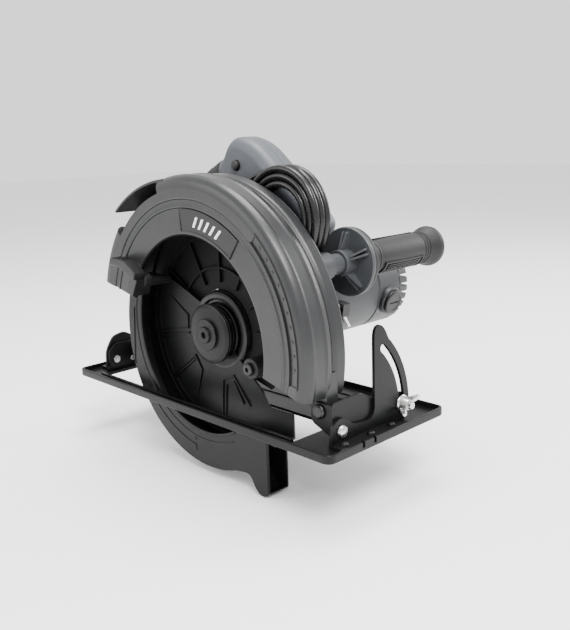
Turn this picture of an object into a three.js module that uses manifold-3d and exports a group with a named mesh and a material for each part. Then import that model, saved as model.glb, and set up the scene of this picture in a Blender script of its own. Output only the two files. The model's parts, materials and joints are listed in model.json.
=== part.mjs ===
// Hand-held circular saw, 235 mm class, shown without a blade. Millimetres, +Z up.
// +X is the cutting direction, -Y the blade side and +Y the motor side.
// The origin lies on the sole of the shoe, below the arbor and below the middle of the main handle.
// Inside the file all heights and sideways places count from the middle group, whose origin lies
// below the middle of the guards, so that the whole saw is moved sideways once.

import * as THREE from 'three';
import { mergeVertices } from 'three/addons/utils/BufferGeometryUtils.js';
import Module from 'manifold-3d';

const wasm = await Module();
wasm.setup();

const degrees = THREE.MathUtils.degToRad;

// ---- fits ----
const TOUCH = 0.3;
const RUNNING = 0.5;
const HOLE_PLAY = 0.3;

// ---- where the saw stands ----
const ARBOR_HEIGHT = 75;
const REST_TILT = degrees(14);
const tiltCos = Math.cos(REST_TILT);
const tiltSin = Math.sin(REST_TILT);

// ---- shoe ----
const SHOE_REAR = -206;
const SHOE_FRONT = 180;
const SHOE_NEAR = -38;
const SHOE_FAR = 122;
const SHOE_SHEET = 3;
const SHOE_RIM = 8;
const RIM_SHEET = 2.5;
const SHOE_CORNER = 9;
const OPENING_REAR = -176;
const OPENING_FRONT = 126;
const OPENING_NEAR = -25;
const OPENING_FAR = 29;
const RAIL_HEIGHT = 6;
const NOTCH_WIDTH = 3;
const NOTCH_PLACES = [5, 20];

// ---- bevel brackets ----
const BEVEL_Y = -4;
const BEVEL_Z = 16;
const BRACKET_SHEET = 3;
const QUADRANT_X = 160;
const REAR_BRACKET_X = -186.5;
const EAR_RADIUS = 11;
const SLOT_RADIUS = 82;
const SLOT_WIDTH = 7.4;
const BEVEL_RANGE = degrees(45);
const BEVEL_BOLT_ANGLE = degrees(2);
const BEVEL_BOLT = 3.3;
const PIVOT_PIN = 4;
const BRACKET_FOOT = 15;

// ---- depth pivot and depth arm, at the resting depth ----
const DEPTH_PIVOT_X = 145;
const DEPTH_PIVOT_Z = 31;
const DEPTH_PIN = 4;
const LUG_HALF = 7.5;
const LUG_RADIUS = 9.5;
const DEPTH_ARM_RADIUS = 240;
const DEPTH_ARM_WIDTH = 22;
const DEPTH_ARM_Y = 20;
const DEPTH_ARM_SHEET = 3;
const DEPTH_BOLT = 4;
const DEPTH_REST = degrees(14);
const DEPTH_LOW = degrees(-13);
const DEPTH_HIGH = degrees(20);

// ---- upper guard, about the arbor ----
const GUARD_WALL = 3;
const GUARD_RADIUS = 152.5;
const GUARD_OPENING = 97;
const GUARD_NEAR = -32.6;
const GUARD_BACK = 12;
const GUARD_RIM_END = 17;
const GUARD_CUT = 4;
const BOSS_RADIUS = 40.4;

// ---- lower guard, about the arbor ----
const LOWER_RADIUS = 122.5;
const LOWER_CENTRE_X = 2;
const LOWER_CENTRE_Z = -9;
const LOWER_WALL = 2.5;
const LOWER_NEAR = -22;
const LOWER_FAR = 4.5;
const LOWER_OPENING = 95.4;
const NOSE_RADIUS = 21.5;

// ---- drive ----
const GEAR_MODULE = 1.5;
const GEAR_TEETH = 46;
const PINION_TEETH = 10;
const AXLE_SPACING = (GEAR_TEETH + PINION_TEETH) * GEAR_MODULE / 2;
const MOTOR_ANGLE = degrees(52);
const MOTOR_X = AXLE_SPACING * Math.cos(MOTOR_ANGLE);
const MOTOR_Z = AXLE_SPACING * Math.sin(MOTOR_ANGLE);
const MOTOR_RADIUS = 45;
const MOTOR_WALL = 3;
const SPINDLE_RADIUS = 7.5;
const SHAFT_RADIUS = 5;
const FLANGE_RADIUS = 29.3;
const ARBOR_THREAD = 4;

// ---- positions along the motor, in Y ----
const HOUSING_START = GUARD_BACK + TOUCH;
const HOUSING_NARROW = 27;
const COVER_START = 36.3;
const MOTOR_START = 41.3;
const CAP_START = 186;
const MOTOR_END = 203;
const GEAR_START = 15;
const GEAR_WIDTH = 10;

// ---- main handle ----
const HANDLE_START = MOTOR_START;
const HANDLE_WIDTH = 38;
const HANDLE_MIDDLE = HANDLE_START + HANDLE_WIDTH / 2;
const HANDLE_WALL = 3;
const HANDLE_ROUND = 7.6;
const HANDLE_SKIN = 4;

// ---- auxiliary handle, about its own axis at rest ----
const AUX_X = 115;
const AUX_Z = 71 + ARBOR_HEIGHT;
const AUX_FLANGE_RADIUS = 31.5;
const AUX_GRIP_RADIUS = 15;
const AUX_END_RADIUS = 20;
const AUX_STALK_RADIUS = 9.5;
const AUX_STUD = 5;
const AUX_FLANGE_Y = 60;
const AUX_END = 188;

// ---- cord ----
const CORD_RADIUS = 3.3;
const COIL_X = 72;
const COIL_Z = 112 + ARBOR_HEIGHT;
const COIL_INNER = 26.2;
const COIL_OUTER = 46.8;
const COIL_NEAR = 18;
const COIL_FAR = 38.8;

// ==== shaping helpers ====

function toSolid(geometry) {
  const bare = geometry.clone();
  for (const name of Object.keys(bare.attributes)) {
    if (name !== 'position') bare.deleteAttribute(name);
  }
  const merged = mergeVertices(bare, 1e-4);
  const corners = merged.index.array;
  const faces = [];
  for (let face = 0; face < corners.length; face += 3) {
    const [a, b, c] = corners.slice(face, face + 3);
    if (a !== b && b !== c && c !== a) faces.push(a, b, c);
  }
  return new wasm.Manifold(new wasm.Mesh({
    numProp: 3,
    vertProperties: Float32Array.from(merged.attributes.position.array),
    triVerts: Uint32Array.from(faces),
  }));
}

function toGeometry(solid) {
  const mesh = solid.getMesh();
  const geometry = new THREE.BufferGeometry();
  geometry.setAttribute('position', new THREE.BufferAttribute(Float32Array.from(mesh.vertProperties), 3));
  geometry.setIndex(new THREE.BufferAttribute(Uint32Array.from(mesh.triVerts), 1));
  return geometry;
}

const join = (first, ...others) =>
  toGeometry(others.reduce((sum, other) => sum.add(toSolid(other)), toSolid(first)));

const cut = (first, ...others) =>
  toGeometry(others.reduce((rest, other) => rest.subtract(toSolid(other)), toSolid(first)));

const common = (first, other) => toGeometry(toSolid(first).intersect(toSolid(other)));

function box(x0, x1, y0, y1, z0, z1) {
  const geometry = new THREE.BoxGeometry(x1 - x0, y1 - y0, z1 - z0);
  return geometry.translate((x0 + x1) / 2, (y0 + y1) / 2, (z0 + z1) / 2);
}

// A closed outline from corners [a, b] or [a, b, rounding].
function outline(corners) {
  const shape = new THREE.Shape();
  corners.forEach((corner, index) => {
    const [a, b, wanted = 0] = corner;
    const before = corners[(index + corners.length - 1) % corners.length];
    const after = corners[(index + 1) % corners.length];
    const toBefore = new THREE.Vector2(before[0] - a, before[1] - b);
    const toAfter = new THREE.Vector2(after[0] - a, after[1] - b);
    const rounding = Math.min(wanted, 0.45 * toBefore.length(), 0.45 * toAfter.length());
    toBefore.setLength(rounding);
    toAfter.setLength(rounding);
    if (index === 0) {
      shape.moveTo(a + toBefore.x, b + toBefore.y);
    } else {
      shape.lineTo(a + toBefore.x, b + toBefore.y);
    }
    if (rounding > 0) {
      shape.quadraticCurveTo(a, b, a + toAfter.x, b + toAfter.y);
    }
  });
  shape.closePath();
  return shape;
}

const rectangle = (a0, a1, b0, b1, rounding = 0) =>
  outline([[a0, b0, rounding], [a1, b0, rounding], [a1, b1, rounding], [a0, b1, rounding]]);

// A slot of even width along an arc, with round ends.
function arcSlot(a, b, radius, width, start, end) {
  const half = width / 2;
  const shape = new THREE.Shape();
  shape.absarc(a, b, radius + half, start, end, false);
  shape.absarc(a + radius * Math.cos(end), b + radius * Math.sin(end), half, end, end + Math.PI, false);
  shape.absarc(a, b, radius - half, end, start, true);
  shape.absarc(a + radius * Math.cos(start), b + radius * Math.sin(start), half,
    start + Math.PI, start + 2 * Math.PI, false);
  shape.closePath();
  return shape;
}

const extrude = (shape, depth, curveSegments = 4) =>
  new THREE.ExtrudeGeometry(shape, { depth, bevelEnabled: false, steps: 1, curveSegments });

// Outlines drawn in X and Y, in X and Z, and in Y and Z.
const slabXY = (shape, z0, z1, curves) => extrude(shape, z1 - z0, curves).translate(0, 0, z0);
const slabXZ = (shape, y0, y1, curves) =>
  extrude(shape, y1 - y0, curves).rotateX(Math.PI / 2).translate(0, y1, 0);
const cyclic = new THREE.Matrix4().makeBasis(
  new THREE.Vector3(0, 1, 0), new THREE.Vector3(0, 0, 1), new THREE.Vector3(1, 0, 0));
const slabYZ = (shape, x0, x1, curves) =>
  extrude(shape, x1 - x0, curves).applyMatrix4(cyclic).translate(x0, 0, 0);

// Round pieces of like radius take the same facets, so that their flats line up.
function facetsFor(radius) {
  if (radius < 6) return 10;
  if (radius < 12) return 12;
  if (radius < 26) return 18;
  return radius < 60 ? 26 : 36;
}

// Turned pieces about an axis along Y through (x, z), and along X through (y, z).
function turned(profile, x = 0, z = 0, sides = 0) {
  const points = profile.map(([radius, y]) => new THREE.Vector2(radius, y));
  const facets = sides || facetsFor(Math.max(...points.map((point) => point.x)));
  return new THREE.LatheGeometry(points, facets).translate(x, 0, z);
}

const disc = (radius, y0, y1, x, z, sides) =>
  turned([[0, y0], [radius, y0], [radius, y1], [0, y1]], x, z, sides);

const ring = (inner, outer, y0, y1, x, z) =>
  turned([[inner, y0], [outer, y0], [outer, y1], [inner, y1], [inner, y0]], x, z);

const alongX = (geometry, x, y, z) => geometry.rotateZ(-Math.PI / 2).translate(x, y, z);
const discX = (radius, x0, x1, y, z, sides) => alongX(disc(radius, x0, x1, 0, 0, sides), 0, y, z);

// A spur gear outline with straight-flanked teeth that thin toward the tip.
function gearOutline(teeth, thinning, turn) {
  const pitch = teeth * GEAR_MODULE / 2;
  const root = pitch - 1.2 * GEAR_MODULE;
  const tip = pitch + 0.85 * GEAR_MODULE;
  const step = 2 * Math.PI / teeth;
  const shape = new THREE.Shape();
  for (let tooth = 0; tooth < teeth; tooth += 1) {
    const middle = tooth * step + turn;
    const corners = [[root, -0.36], [tip, -0.13 + thinning], [tip, 0.13 - thinning], [root, 0.36]];
    corners.forEach(([radius, share], index) => {
      const angle = middle + share * step;
      const place = [radius * Math.cos(angle), radius * Math.sin(angle)];
      if (tooth === 0 && index === 0) shape.moveTo(...place);
      else shape.lineTo(...place);
    });
  }
  shape.closePath();
  return shape;
}

// ==== finishes ====

const finish = (color, roughness, metalness) => new THREE.MeshStandardMaterial({ color, roughness,
  metalness });
const guardPaint = finish(0x5d5f62, 0.45, 0.3);
const blackPaint = finish(0x1c1d1f, 0.4, 0.3);
const housingPlastic = finish(0x7c8087, 0.5, 0);
const castAlloy = finish(0x8b8e92, 0.5, 0.8);
const blackPlastic = finish(0x202123, 0.5, 0);
const softRubber = finish(0x2c2d2f, 0.85, 0);
const zinc = finish(0xc6c9cc, 0.3, 1);
const steel = finish(0x9a9da1, 0.35, 1);
const copper = finish(0xb06a3c, 0.4, 1);
const cordRubber = finish(0x121314, 0.6, 0);

const saw = new THREE.Group();
const shoeGroup = new THREE.Group();
shoeGroup.position.set(0, -HANDLE_MIDDLE, 0);
saw.add(shoeGroup);
const sawBody = new THREE.Group();
sawBody.position.set(0, 0, ARBOR_HEIGHT);
sawBody.rotation.y = REST_TILT;
shoeGroup.add(sawBody);
const arborGroup = new THREE.Group();
arborGroup.position.set(0, 0, ARBOR_HEIGHT);
shoeGroup.add(arborGroup);

function add(group, name, geometry, material) {
  const mesh = new THREE.Mesh(toGeometry(toSolid(geometry)), material);
  mesh.name = name;
  group.add(mesh);
}

// Turns a resting place (x, z) in the saw's frame into the body's own frame.
function inBody(x, z) {
  const height = z - ARBOR_HEIGHT;
  return [x * tiltCos - height * tiltSin, x * tiltSin + height * tiltCos];
}

// ==== shoe ====

function shoe() {
  const outer = rectangle(SHOE_REAR, SHOE_FRONT, SHOE_NEAR, SHOE_FAR, SHOE_CORNER);
  const inner = rectangle(SHOE_REAR + RIM_SHEET, SHOE_FRONT - RIM_SHEET,
    SHOE_NEAR + RIM_SHEET, SHOE_FAR - RIM_SHEET, SHOE_CORNER - RIM_SHEET);
  const opening = rectangle(OPENING_REAR, OPENING_FRONT, OPENING_NEAR, OPENING_FAR, 4);
  const tray = cut(slabXY(outer, 0, SHOE_RIM), slabXY(inner, SHOE_SHEET, SHOE_RIM + 1));
  const rail = box(OPENING_REAR, OPENING_FRONT, OPENING_NEAR - RIM_SHEET, OPENING_NEAR + 1, 1, RAIL_HEIGHT);
  const notches = NOTCH_PLACES.map((y) => box(SHOE_FRONT - RIM_SHEET - 1, SHOE_FRONT + 1,
    y - NOTCH_WIDTH / 2, y + NOTCH_WIDTH / 2, SHOE_SHEET, SHOE_RIM + 1));
  return cut(join(tray, rail), slabXY(opening, -1, SHOE_RIM + 1), ...notches);
}
add(shoeGroup, 'base_plate', shoe(), blackPaint);

// The bevel pivot is the centre of the quadrant's slot.
const bevelBoltY = BEVEL_Y + SLOT_RADIUS * Math.cos(BEVEL_BOLT_ANGLE);
const bevelBoltZ = BEVEL_Z + SLOT_RADIUS * Math.sin(BEVEL_BOLT_ANGLE);
const quadrantOuter = SLOT_RADIUS + SLOT_WIDTH / 2 + 7;
const footTop = SHOE_SHEET + TOUCH;

function frontQuadrant() {
  const arcEnd = BEVEL_BOLT_ANGLE + BEVEL_RANGE + degrees(4);
  const shape = new THREE.Shape();
  shape.moveTo(-17, footTop);
  shape.lineTo(BEVEL_Y - EAR_RADIUS, BEVEL_Z);
  shape.absarc(BEVEL_Y, BEVEL_Z, EAR_RADIUS, Math.PI, degrees(50), true);
  shape.quadraticCurveTo(8, 17, 30, 16);
  shape.quadraticCurveTo(40, 16, 40, 28);
  shape.lineTo(40, 88);
  shape.quadraticCurveTo(41, 99, 50, 97);
  shape.absarc(BEVEL_Y, BEVEL_Z, quadrantOuter, arcEnd, degrees(-4), true);
  shape.lineTo(82, footTop);
  shape.closePath();
  const slot = arcSlot(BEVEL_Y, BEVEL_Z, SLOT_RADIUS, SLOT_WIDTH,
    BEVEL_BOLT_ANGLE, BEVEL_BOLT_ANGLE + BEVEL_RANGE);
  const plate = slabYZ(shape, QUADRANT_X, QUADRANT_X + BRACKET_SHEET, 8);
  const foot = box(QUADRANT_X, QUADRANT_X + BRACKET_FOOT, -17, 64, footTop, footTop + BRACKET_SHEET);
  return cut(join(plate, foot), slabYZ(slot, QUADRANT_X - 1, QUADRANT_X + BRACKET_SHEET + 1, 8),
    discX(PIVOT_PIN + HOLE_PLAY, QUADRANT_X - 1, QUADRANT_X + BRACKET_SHEET + 1, BEVEL_Y, BEVEL_Z));
}

// Lock slot of the rear bracket, close round the bevel pivot.
const REAR_SLOT_RADIUS = 22;
const REAR_HEAD = 6.2;
const REAR_HEAD_PLAY = 0.44;
const rearHeadHeight = footTop + BRACKET_SHEET + REAR_HEAD_PLAY + REAR_HEAD;
const REAR_SLOT_START = Math.asin((rearHeadHeight - BEVEL_Z) / REAR_SLOT_RADIUS);

function rearBracket() {
  const shape = outline([[-15, footTop, 3], [-14, 26, 6], [-4, 42, 6], [12, 45, 6], [25, 36, 6],
    [26, footTop, 3]]);
  const plate = slabYZ(shape, REAR_BRACKET_X, REAR_BRACKET_X + BRACKET_SHEET);
  const foot = box(REAR_BRACKET_X - 12, REAR_BRACKET_X + BRACKET_SHEET, -13, 23, footTop,
    footTop + BRACKET_SHEET);
  const slot = arcSlot(BEVEL_Y, BEVEL_Z, REAR_SLOT_RADIUS, SLOT_WIDTH,
    REAR_SLOT_START, REAR_SLOT_START + BEVEL_RANGE);
  return cut(join(plate, foot), slabYZ(slot, REAR_BRACKET_X - 1, REAR_BRACKET_X + BRACKET_SHEET + 1),
    discX(PIVOT_PIN + HOLE_PLAY, REAR_BRACKET_X - 1, REAR_BRACKET_X + BRACKET_SHEET + 1, BEVEL_Y, BEVEL_Z));
}

// A dome-headed pin along X whose shank ends in the tilting bracket.
function pinX(radius, headRadius, headOuter, headInner, end, y, z) {
  const side = Math.sign(headOuter - headInner);
  const low = Math.min(headInner, end);
  const high = Math.max(headInner, end);
  const head = alongX(turned(side > 0
    ? [[0, headInner], [headRadius, headInner], [headRadius, headOuter - 1.5],
      [headRadius - 2.5, headOuter], [0, headOuter]]
    : [[0, headOuter], [headRadius - 2.5, headOuter], [headRadius, headOuter + 1.5],
      [headRadius, headInner], [0, headInner]]), 0, y, z);
  return join(head, discX(radius, low - (side > 0 ? 0 : 0.5), high + (side > 0 ? 0.5 : 0), y, z));
}

const TILT_FRONT_X = QUADRANT_X - TOUCH - BRACKET_SHEET;
const TILT_REAR_X = REAR_BRACKET_X + BRACKET_SHEET + TOUCH;

add(shoeGroup, 'front_bevel_quadrant', frontQuadrant(), blackPaint);
add(shoeGroup, 'rear_bevel_bracket', rearBracket(), blackPaint);
add(shoeGroup, 'front_bevel_pin', pinX(PIVOT_PIN, 7, QUADRANT_X + BRACKET_SHEET + TOUCH + 4,
  QUADRANT_X + BRACKET_SHEET + TOUCH, TILT_FRONT_X - 2, BEVEL_Y, BEVEL_Z), zinc);
add(shoeGroup, 'rear_bevel_pin', pinX(PIVOT_PIN, 7, REAR_BRACKET_X - TOUCH - 4,
  REAR_BRACKET_X - TOUCH, TILT_REAR_X + BRACKET_SHEET + 2, BEVEL_Y, BEVEL_Z), zinc);

// ==== tilting frame ====

const CHEEK_REAR = 135;
const cheekGap = LUG_HALF + RUNNING;

function frontTiltBracket() {
  const shape = outline([[-11.5, 9, 3], [-11.5, 41, 4], [27, 41, 5], [46, 29, 6], [bevelBoltY + 9, 28, 7],
    [bevelBoltY + 9, 10, 6], [42, 10, 4], [20, 9, 2]]);
  const plate = slabYZ(shape, TILT_FRONT_X, TILT_FRONT_X + BRACKET_SHEET);
  const cheek = outline([[CHEEK_REAR, 20, 5], [TILT_FRONT_X + 1, 11], [TILT_FRONT_X + 1, 38.5],
    [CHEEK_REAR, 38.5, 7]]);
  const cheeks = [-cheekGap - BRACKET_SHEET, cheekGap].map((y) => slabXZ(cheek, y, y + BRACKET_SHEET));
  return cut(join(plate, ...cheeks),
    disc(DEPTH_PIN + HOLE_PLAY, -20, 20, DEPTH_PIVOT_X, DEPTH_PIVOT_Z),
    discX(PIVOT_PIN + HOLE_PLAY, TILT_FRONT_X - 1, QUADRANT_X, BEVEL_Y, BEVEL_Z),
    discX(BEVEL_BOLT + HOLE_PLAY, TILT_FRONT_X - 1, QUADRANT_X, bevelBoltY, bevelBoltZ));
}

const armTop = DEPTH_REST + DEPTH_HIGH + degrees(2.6);
const armLow = DEPTH_REST + DEPTH_LOW;
const depthBoltX = DEPTH_PIVOT_X - DEPTH_ARM_RADIUS * Math.cos(DEPTH_REST);
const depthBoltZ = DEPTH_PIVOT_Z + DEPTH_ARM_RADIUS * Math.sin(DEPTH_REST);
const rearLockY = BEVEL_Y + REAR_SLOT_RADIUS * Math.cos(REAR_SLOT_START);
const rearLockZ = BEVEL_Z + REAR_SLOT_RADIUS * Math.sin(REAR_SLOT_START);

function rearTiltBracket() {
  const shape = outline([[-13, 7, 4], [-13, 26, 5], [-4, 34, 5], [DEPTH_ARM_Y - TOUCH, 34, 3],
    [DEPTH_ARM_Y - TOUCH, 24], [26, 24, 3], [26, 8, 4]]);
  const tab = box(TILT_REAR_X, TILT_REAR_X + 22, DEPTH_ARM_Y - TOUCH - BRACKET_SHEET, DEPTH_ARM_Y - TOUCH,
    12, 30);
  return cut(join(slabYZ(shape, TILT_REAR_X, TILT_REAR_X + BRACKET_SHEET), tab),
    discX(PIVOT_PIN + HOLE_PLAY, TILT_REAR_X - 1, TILT_REAR_X + BRACKET_SHEET + 1, BEVEL_Y, BEVEL_Z),
    discX(BEVEL_BOLT + HOLE_PLAY, TILT_REAR_X - 1, TILT_REAR_X + 10, rearLockY, rearLockZ));
}

// The slotted arm is an arc about the depth pivot on a foot that runs back to the rear bracket.
function depthArm() {
  const outer = DEPTH_ARM_RADIUS + DEPTH_ARM_WIDTH / 2;
  const inner = DEPTH_ARM_RADIUS - DEPTH_ARM_WIDTH / 2;
  const band = new THREE.Shape();
  band.absarc(DEPTH_PIVOT_X, DEPTH_PIVOT_Z, outer, Math.PI - armTop, Math.PI + degrees(4), false);
  band.absarc(DEPTH_PIVOT_X, DEPTH_PIVOT_Z, inner, Math.PI + degrees(4), Math.PI - armTop, true);
  band.closePath();
  const foot = outline([[TILT_REAR_X + BRACKET_SHEET + 1, 13, 2], [DEPTH_PIVOT_X - inner, 13],
    [DEPTH_PIVOT_X - inner, 30], [TILT_REAR_X + BRACKET_SHEET + 1, 30, 2]]);
  const slot = arcSlot(DEPTH_PIVOT_X, DEPTH_PIVOT_Z, DEPTH_ARM_RADIUS, 2 * (DEPTH_BOLT + HOLE_PLAY),
    Math.PI - DEPTH_REST - DEPTH_HIGH, Math.PI - armLow);
  return cut(join(slabXZ(band, DEPTH_ARM_Y, DEPTH_ARM_Y + DEPTH_ARM_SHEET, 9),
    slabXZ(foot, DEPTH_ARM_Y, DEPTH_ARM_Y + DEPTH_ARM_SHEET)),
    slabXZ(slot, DEPTH_ARM_Y - 1, DEPTH_ARM_Y + DEPTH_ARM_SHEET + 1, 6));
}

add(shoeGroup, 'front_tilt_bracket', frontTiltBracket(), blackPaint);
add(shoeGroup, 'rear_tilt_bracket', rearTiltBracket(), blackPaint);
add(shoeGroup, 'depth_arm', depthArm(), steel);

const cheekFar = cheekGap + BRACKET_SHEET + TOUCH;
add(shoeGroup, 'depth_pivot_pin', turned([[0, -cheekFar - 3], [4.6, -cheekFar - 3], [6.6, -cheekFar - 1.6],
  [6.6, -cheekFar],
  [DEPTH_PIN, -cheekFar], [DEPTH_PIN, cheekFar + 5], [0, cheekFar + 5]],
    DEPTH_PIVOT_X, DEPTH_PIVOT_Z), zinc);

const washerX = QUADRANT_X + BRACKET_SHEET + TOUCH;
add(shoeGroup, 'bevel_lock_bolt', join(
  discX(6.5, TILT_FRONT_X - TOUCH - 3.5, TILT_FRONT_X - TOUCH, bevelBoltY, bevelBoltZ, 6),
  discX(BEVEL_BOLT, TILT_FRONT_X - TOUCH - 1, washerX + 12, bevelBoltY, bevelBoltZ)), zinc);

function wingNut() {
  const start = washerX;
  const hub = alongX(turned([[0, start], [6.8, start], [6.2, start + 5], [4.9, start + 8.5],
    [0, start + 8.5]]),
    0, bevelBoltY, bevelBoltZ);
  const wing = outline([[start + 1, 2], [start + 7, 2], [start + 12.3, 11, 3], [start + 11, 14.5, 3],
    [start + 3.5, 9, 2]]);
  const wings = [degrees(30), degrees(210)].map((turn) =>
    slabXY(wing, -1.4, 1.4).rotateX(turn).translate(0, bevelBoltY, bevelBoltZ));
  return cut(join(hub, ...wings), discX(BEVEL_BOLT + HOLE_PLAY, start - 1, start + 14, bevelBoltY,
    bevelBoltZ));
}
add(shoeGroup, 'bevel_wing_nut', wingNut(), zinc);

add(shoeGroup, 'rear_lock_bolt', join(
  discX(REAR_HEAD, REAR_BRACKET_X - TOUCH - 4, REAR_BRACKET_X - TOUCH, rearLockY, rearLockZ),
  discX(BEVEL_BOLT, REAR_BRACKET_X - TOUCH - 1, TILT_REAR_X + BRACKET_SHEET + 1, rearLockY, rearLockZ)),
    zinc);

// ==== upper guard ====

const hoodStart = degrees(117);
const hoodEnd = degrees(150);
const hoodRise = 12.5;

function spiral(offset, start, end, steps) {
  const points = [];
  for (let step = 0; step <= steps; step += 1) {
    const angle = start + (end - start) * step / steps;
    const rise = hoodRise * (angle - hoodStart) / (hoodEnd - hoodStart);
    const radius = GUARD_RADIUS - 1 + rise - offset;
    points.push([radius * Math.cos(angle), radius * Math.sin(angle)]);
  }
  return points;
}

function hoodSector(inner, offset, start, end) {
  const back = [[inner * Math.cos(end), inner * Math.sin(end)]];
  for (let step = 5; step >= 0; step -= 1) {
    const angle = start + (end - start) * step / 6;
    back.push([inner * Math.cos(angle), inner * Math.sin(angle)]);
  }
  return outline([...spiral(offset, start, end, 6), ...back]);
}

const [pivotX, pivotZ] = inBody(DEPTH_PIVOT_X, DEPTH_PIVOT_Z);
const stopPlace = [59.4, -11];

function upperGuard() {
  const profile = [
    [GUARD_OPENING, -29], [100, -30], [124, -30.6], [126, -30.2], [141, GUARD_NEAR], [146.5, -32],
    [150.5, -28.8], [GUARD_RADIUS, -24], [GUARD_RADIUS, -8], [150.5, 0.5], [147.5, 3.5], [150, 7],
    [151, GUARD_RIM_END], [148, GUARD_RIM_END], [148, GUARD_BACK], [BOSS_RADIUS + TOUCH, GUARD_BACK],
    [BOSS_RADIUS + TOUCH, GUARD_BACK - GUARD_WALL], [145, GUARD_BACK - GUARD_WALL], [147.5, -1],
    [149.5, -8], [149.5, -23.5], [147.5, -27], [141, -29.4], [125, -27.6], [GUARD_OPENING, -26.6],
    [GUARD_OPENING, -29]];
  const shell = common(turned(profile), box(-180, 180, -50, 30, GUARD_CUT, 180));
  const hubPlate = common(ring(BOSS_RADIUS + TOUCH, 80, GUARD_BACK - GUARD_WALL, GUARD_BACK),
    box(-90, 90, -50, 30, -30, 90));
  const lug = outline([[pivotX - LUG_RADIUS, pivotZ - LUG_RADIUS, LUG_RADIUS], [pivotX - LUG_RADIUS, 24, 4],
    [148.5, 24], [154.5, 3, 3], [pivotX + LUG_RADIUS, pivotZ - LUG_RADIUS, LUG_RADIUS]]);
  const hood = slabXZ(hoodSector(148, 0, hoodStart, hoodEnd), -30, 2);
  const body = join(shell, hubPlate, slabXZ(lug, -LUG_HALF, LUG_HALF), hood);
  const chute = slabXZ(hoodSector(139.5, 2.6, hoodStart + degrees(3), hoodEnd - degrees(1)), -45, -0.5);
  return cut(body, chute,
    disc(DEPTH_PIN + HOLE_PLAY, -20, 20, pivotX, pivotZ),
    disc(3 + HOLE_PLAY, 0, 30, ...stopPlace));
}
add(sawBody, 'upper_guard', upperGuard(), guardPaint);

// The badge is a thin plate that lies on the sloping near face.
function badge() {
  const slope = (radius) => -30.6 + 0.6 * (124 - radius) / 24 - TOUCH;
  const plate = turned([[100, slope(100) - 0.9], [122, slope(122) - 0.9], [122, slope(122)],
    [100, slope(100)], [100, slope(100) - 0.9]]);
  const start = degrees(67);
  const end = degrees(108);
  const wedge = outline([[0, 0], [200 * Math.cos(start), 200 * Math.sin(start)], [0, 260],
    [200 * Math.cos(end), 200 * Math.sin(end)]]);
  return common(plate, slabXZ(wedge, -60, 0));
}
add(sawBody, 'guard_badge', badge(), blackPlastic);

add(sawBody, 'guard_stop_bumper', ring(3 + HOLE_PLAY, 10, -8, GUARD_BACK - GUARD_WALL - TOUCH,
  ...stopPlace), softRubber);
add(sawBody, 'guard_stop_screw', turned([[0, -12], [5, -12], [6, -11], [6, -8 - TOUCH], [3, -8 - TOUCH],
  [3, 16], [0, 16]], ...stopPlace), zinc);

// ==== lower guard ====

function lowerRim(radius, start, end, steps) {
  const points = [];
  for (let step = 0; step <= steps; step += 1) {
    const angle = start + (end - start) * step / steps;
    points.push([LOWER_CENTRE_X + radius * Math.cos(angle), LOWER_CENTRE_Z + radius * Math.sin(angle)]);
  }
  return points;
}

function lowerGuard() {
  const nose = (grow) => [[89, -84], [89, -136 + grow, 4], [79 + grow, -140 + grow, 5],
    [71 + grow, -134 + grow, 5],
    [64 + grow, -121 + grow, 9]];
  const rim = lowerRim(LOWER_RADIUS, degrees(-70), degrees(-208), 26);
  const rimInside = lowerRim(LOWER_RADIUS - LOWER_WALL, degrees(-70), degrees(-214), 26);
  const body = slabXZ(outline([[28, -22], [62, -50, 4], [68, -61, 2], [100, -61, 3], [100, -86, 2],
    ...nose(0), ...rim,
    [-70, 44, 6], [-22, 24, 4]]), LOWER_NEAR, LOWER_FAR, 4);
  const inside = slabXZ(outline([[200, 120], [200, -60], [89.5, -84], [89.5, -140 + LOWER_WALL],
    ...nose(LOWER_WALL).slice(1),
    ...rimInside, [-120, 120]]), LOWER_NEAR + LOWER_WALL, LOWER_FAR - LOWER_WALL, 4);
  const nearOpening = disc(LOWER_OPENING, LOWER_NEAR - 1, LOWER_NEAR + LOWER_WALL + 1);
  const nearTrim = slabXZ(outline([[-10, 140], [-10, -20], [40, -80], [47, -83], [140, -83], [140, 140]]),
    LOWER_NEAR - 1, LOWER_FAR - LOWER_WALL);
  const hub = disc(27, LOWER_FAR - LOWER_WALL, LOWER_FAR + 2.2);
  return cut(join(cut(body, inside, nearOpening, nearTrim), hub),
    disc(NOSE_RADIUS + RUNNING, -30, 30));
}
add(arborGroup, 'lower_guard', lowerGuard(), blackPaint);

// The retracting lever sits on the rear end of the lower guard and folds over the upper guard.

function retractLever() {
  const foot = slabXZ(outline([[-106, 30, 3], [-88, 30, 3], [-72, 48, 3], [-96, 58, 3]]),
    LOWER_NEAR - TOUCH - 2.5, LOWER_NEAR - TOUCH);
  const post = slabXZ(outline([[-86, 36], [-76, 32], [-66, 50], [-78, 56]]), -44, LOWER_NEAR - TOUCH - 1);
  const bar = disc(5, -24, LOWER_FAR - LOWER_WALL - TOUCH, -77, 45);
  const blade = slabXZ(outline([[-108, 63, 2], [-90, 61.5, 3], [-66, 50, 3], [-63, 57, 3], [-84, 69, 4],
    [-106, 69, 2]]), -48, -34);
  return join(foot, post, bar, blade);
}
add(arborGroup, 'guard_lever', retractLever(), blackPlastic);

// ==== gear housing and drive ====

const aux = inBody(AUX_X, AUX_Z);
const depthBolt = inBody(depthBoltX, depthBoltZ);
const lugNear = DEPTH_ARM_Y + DEPTH_ARM_SHEET + RUNNING;
const lugFar = lugNear + 10;

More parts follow.
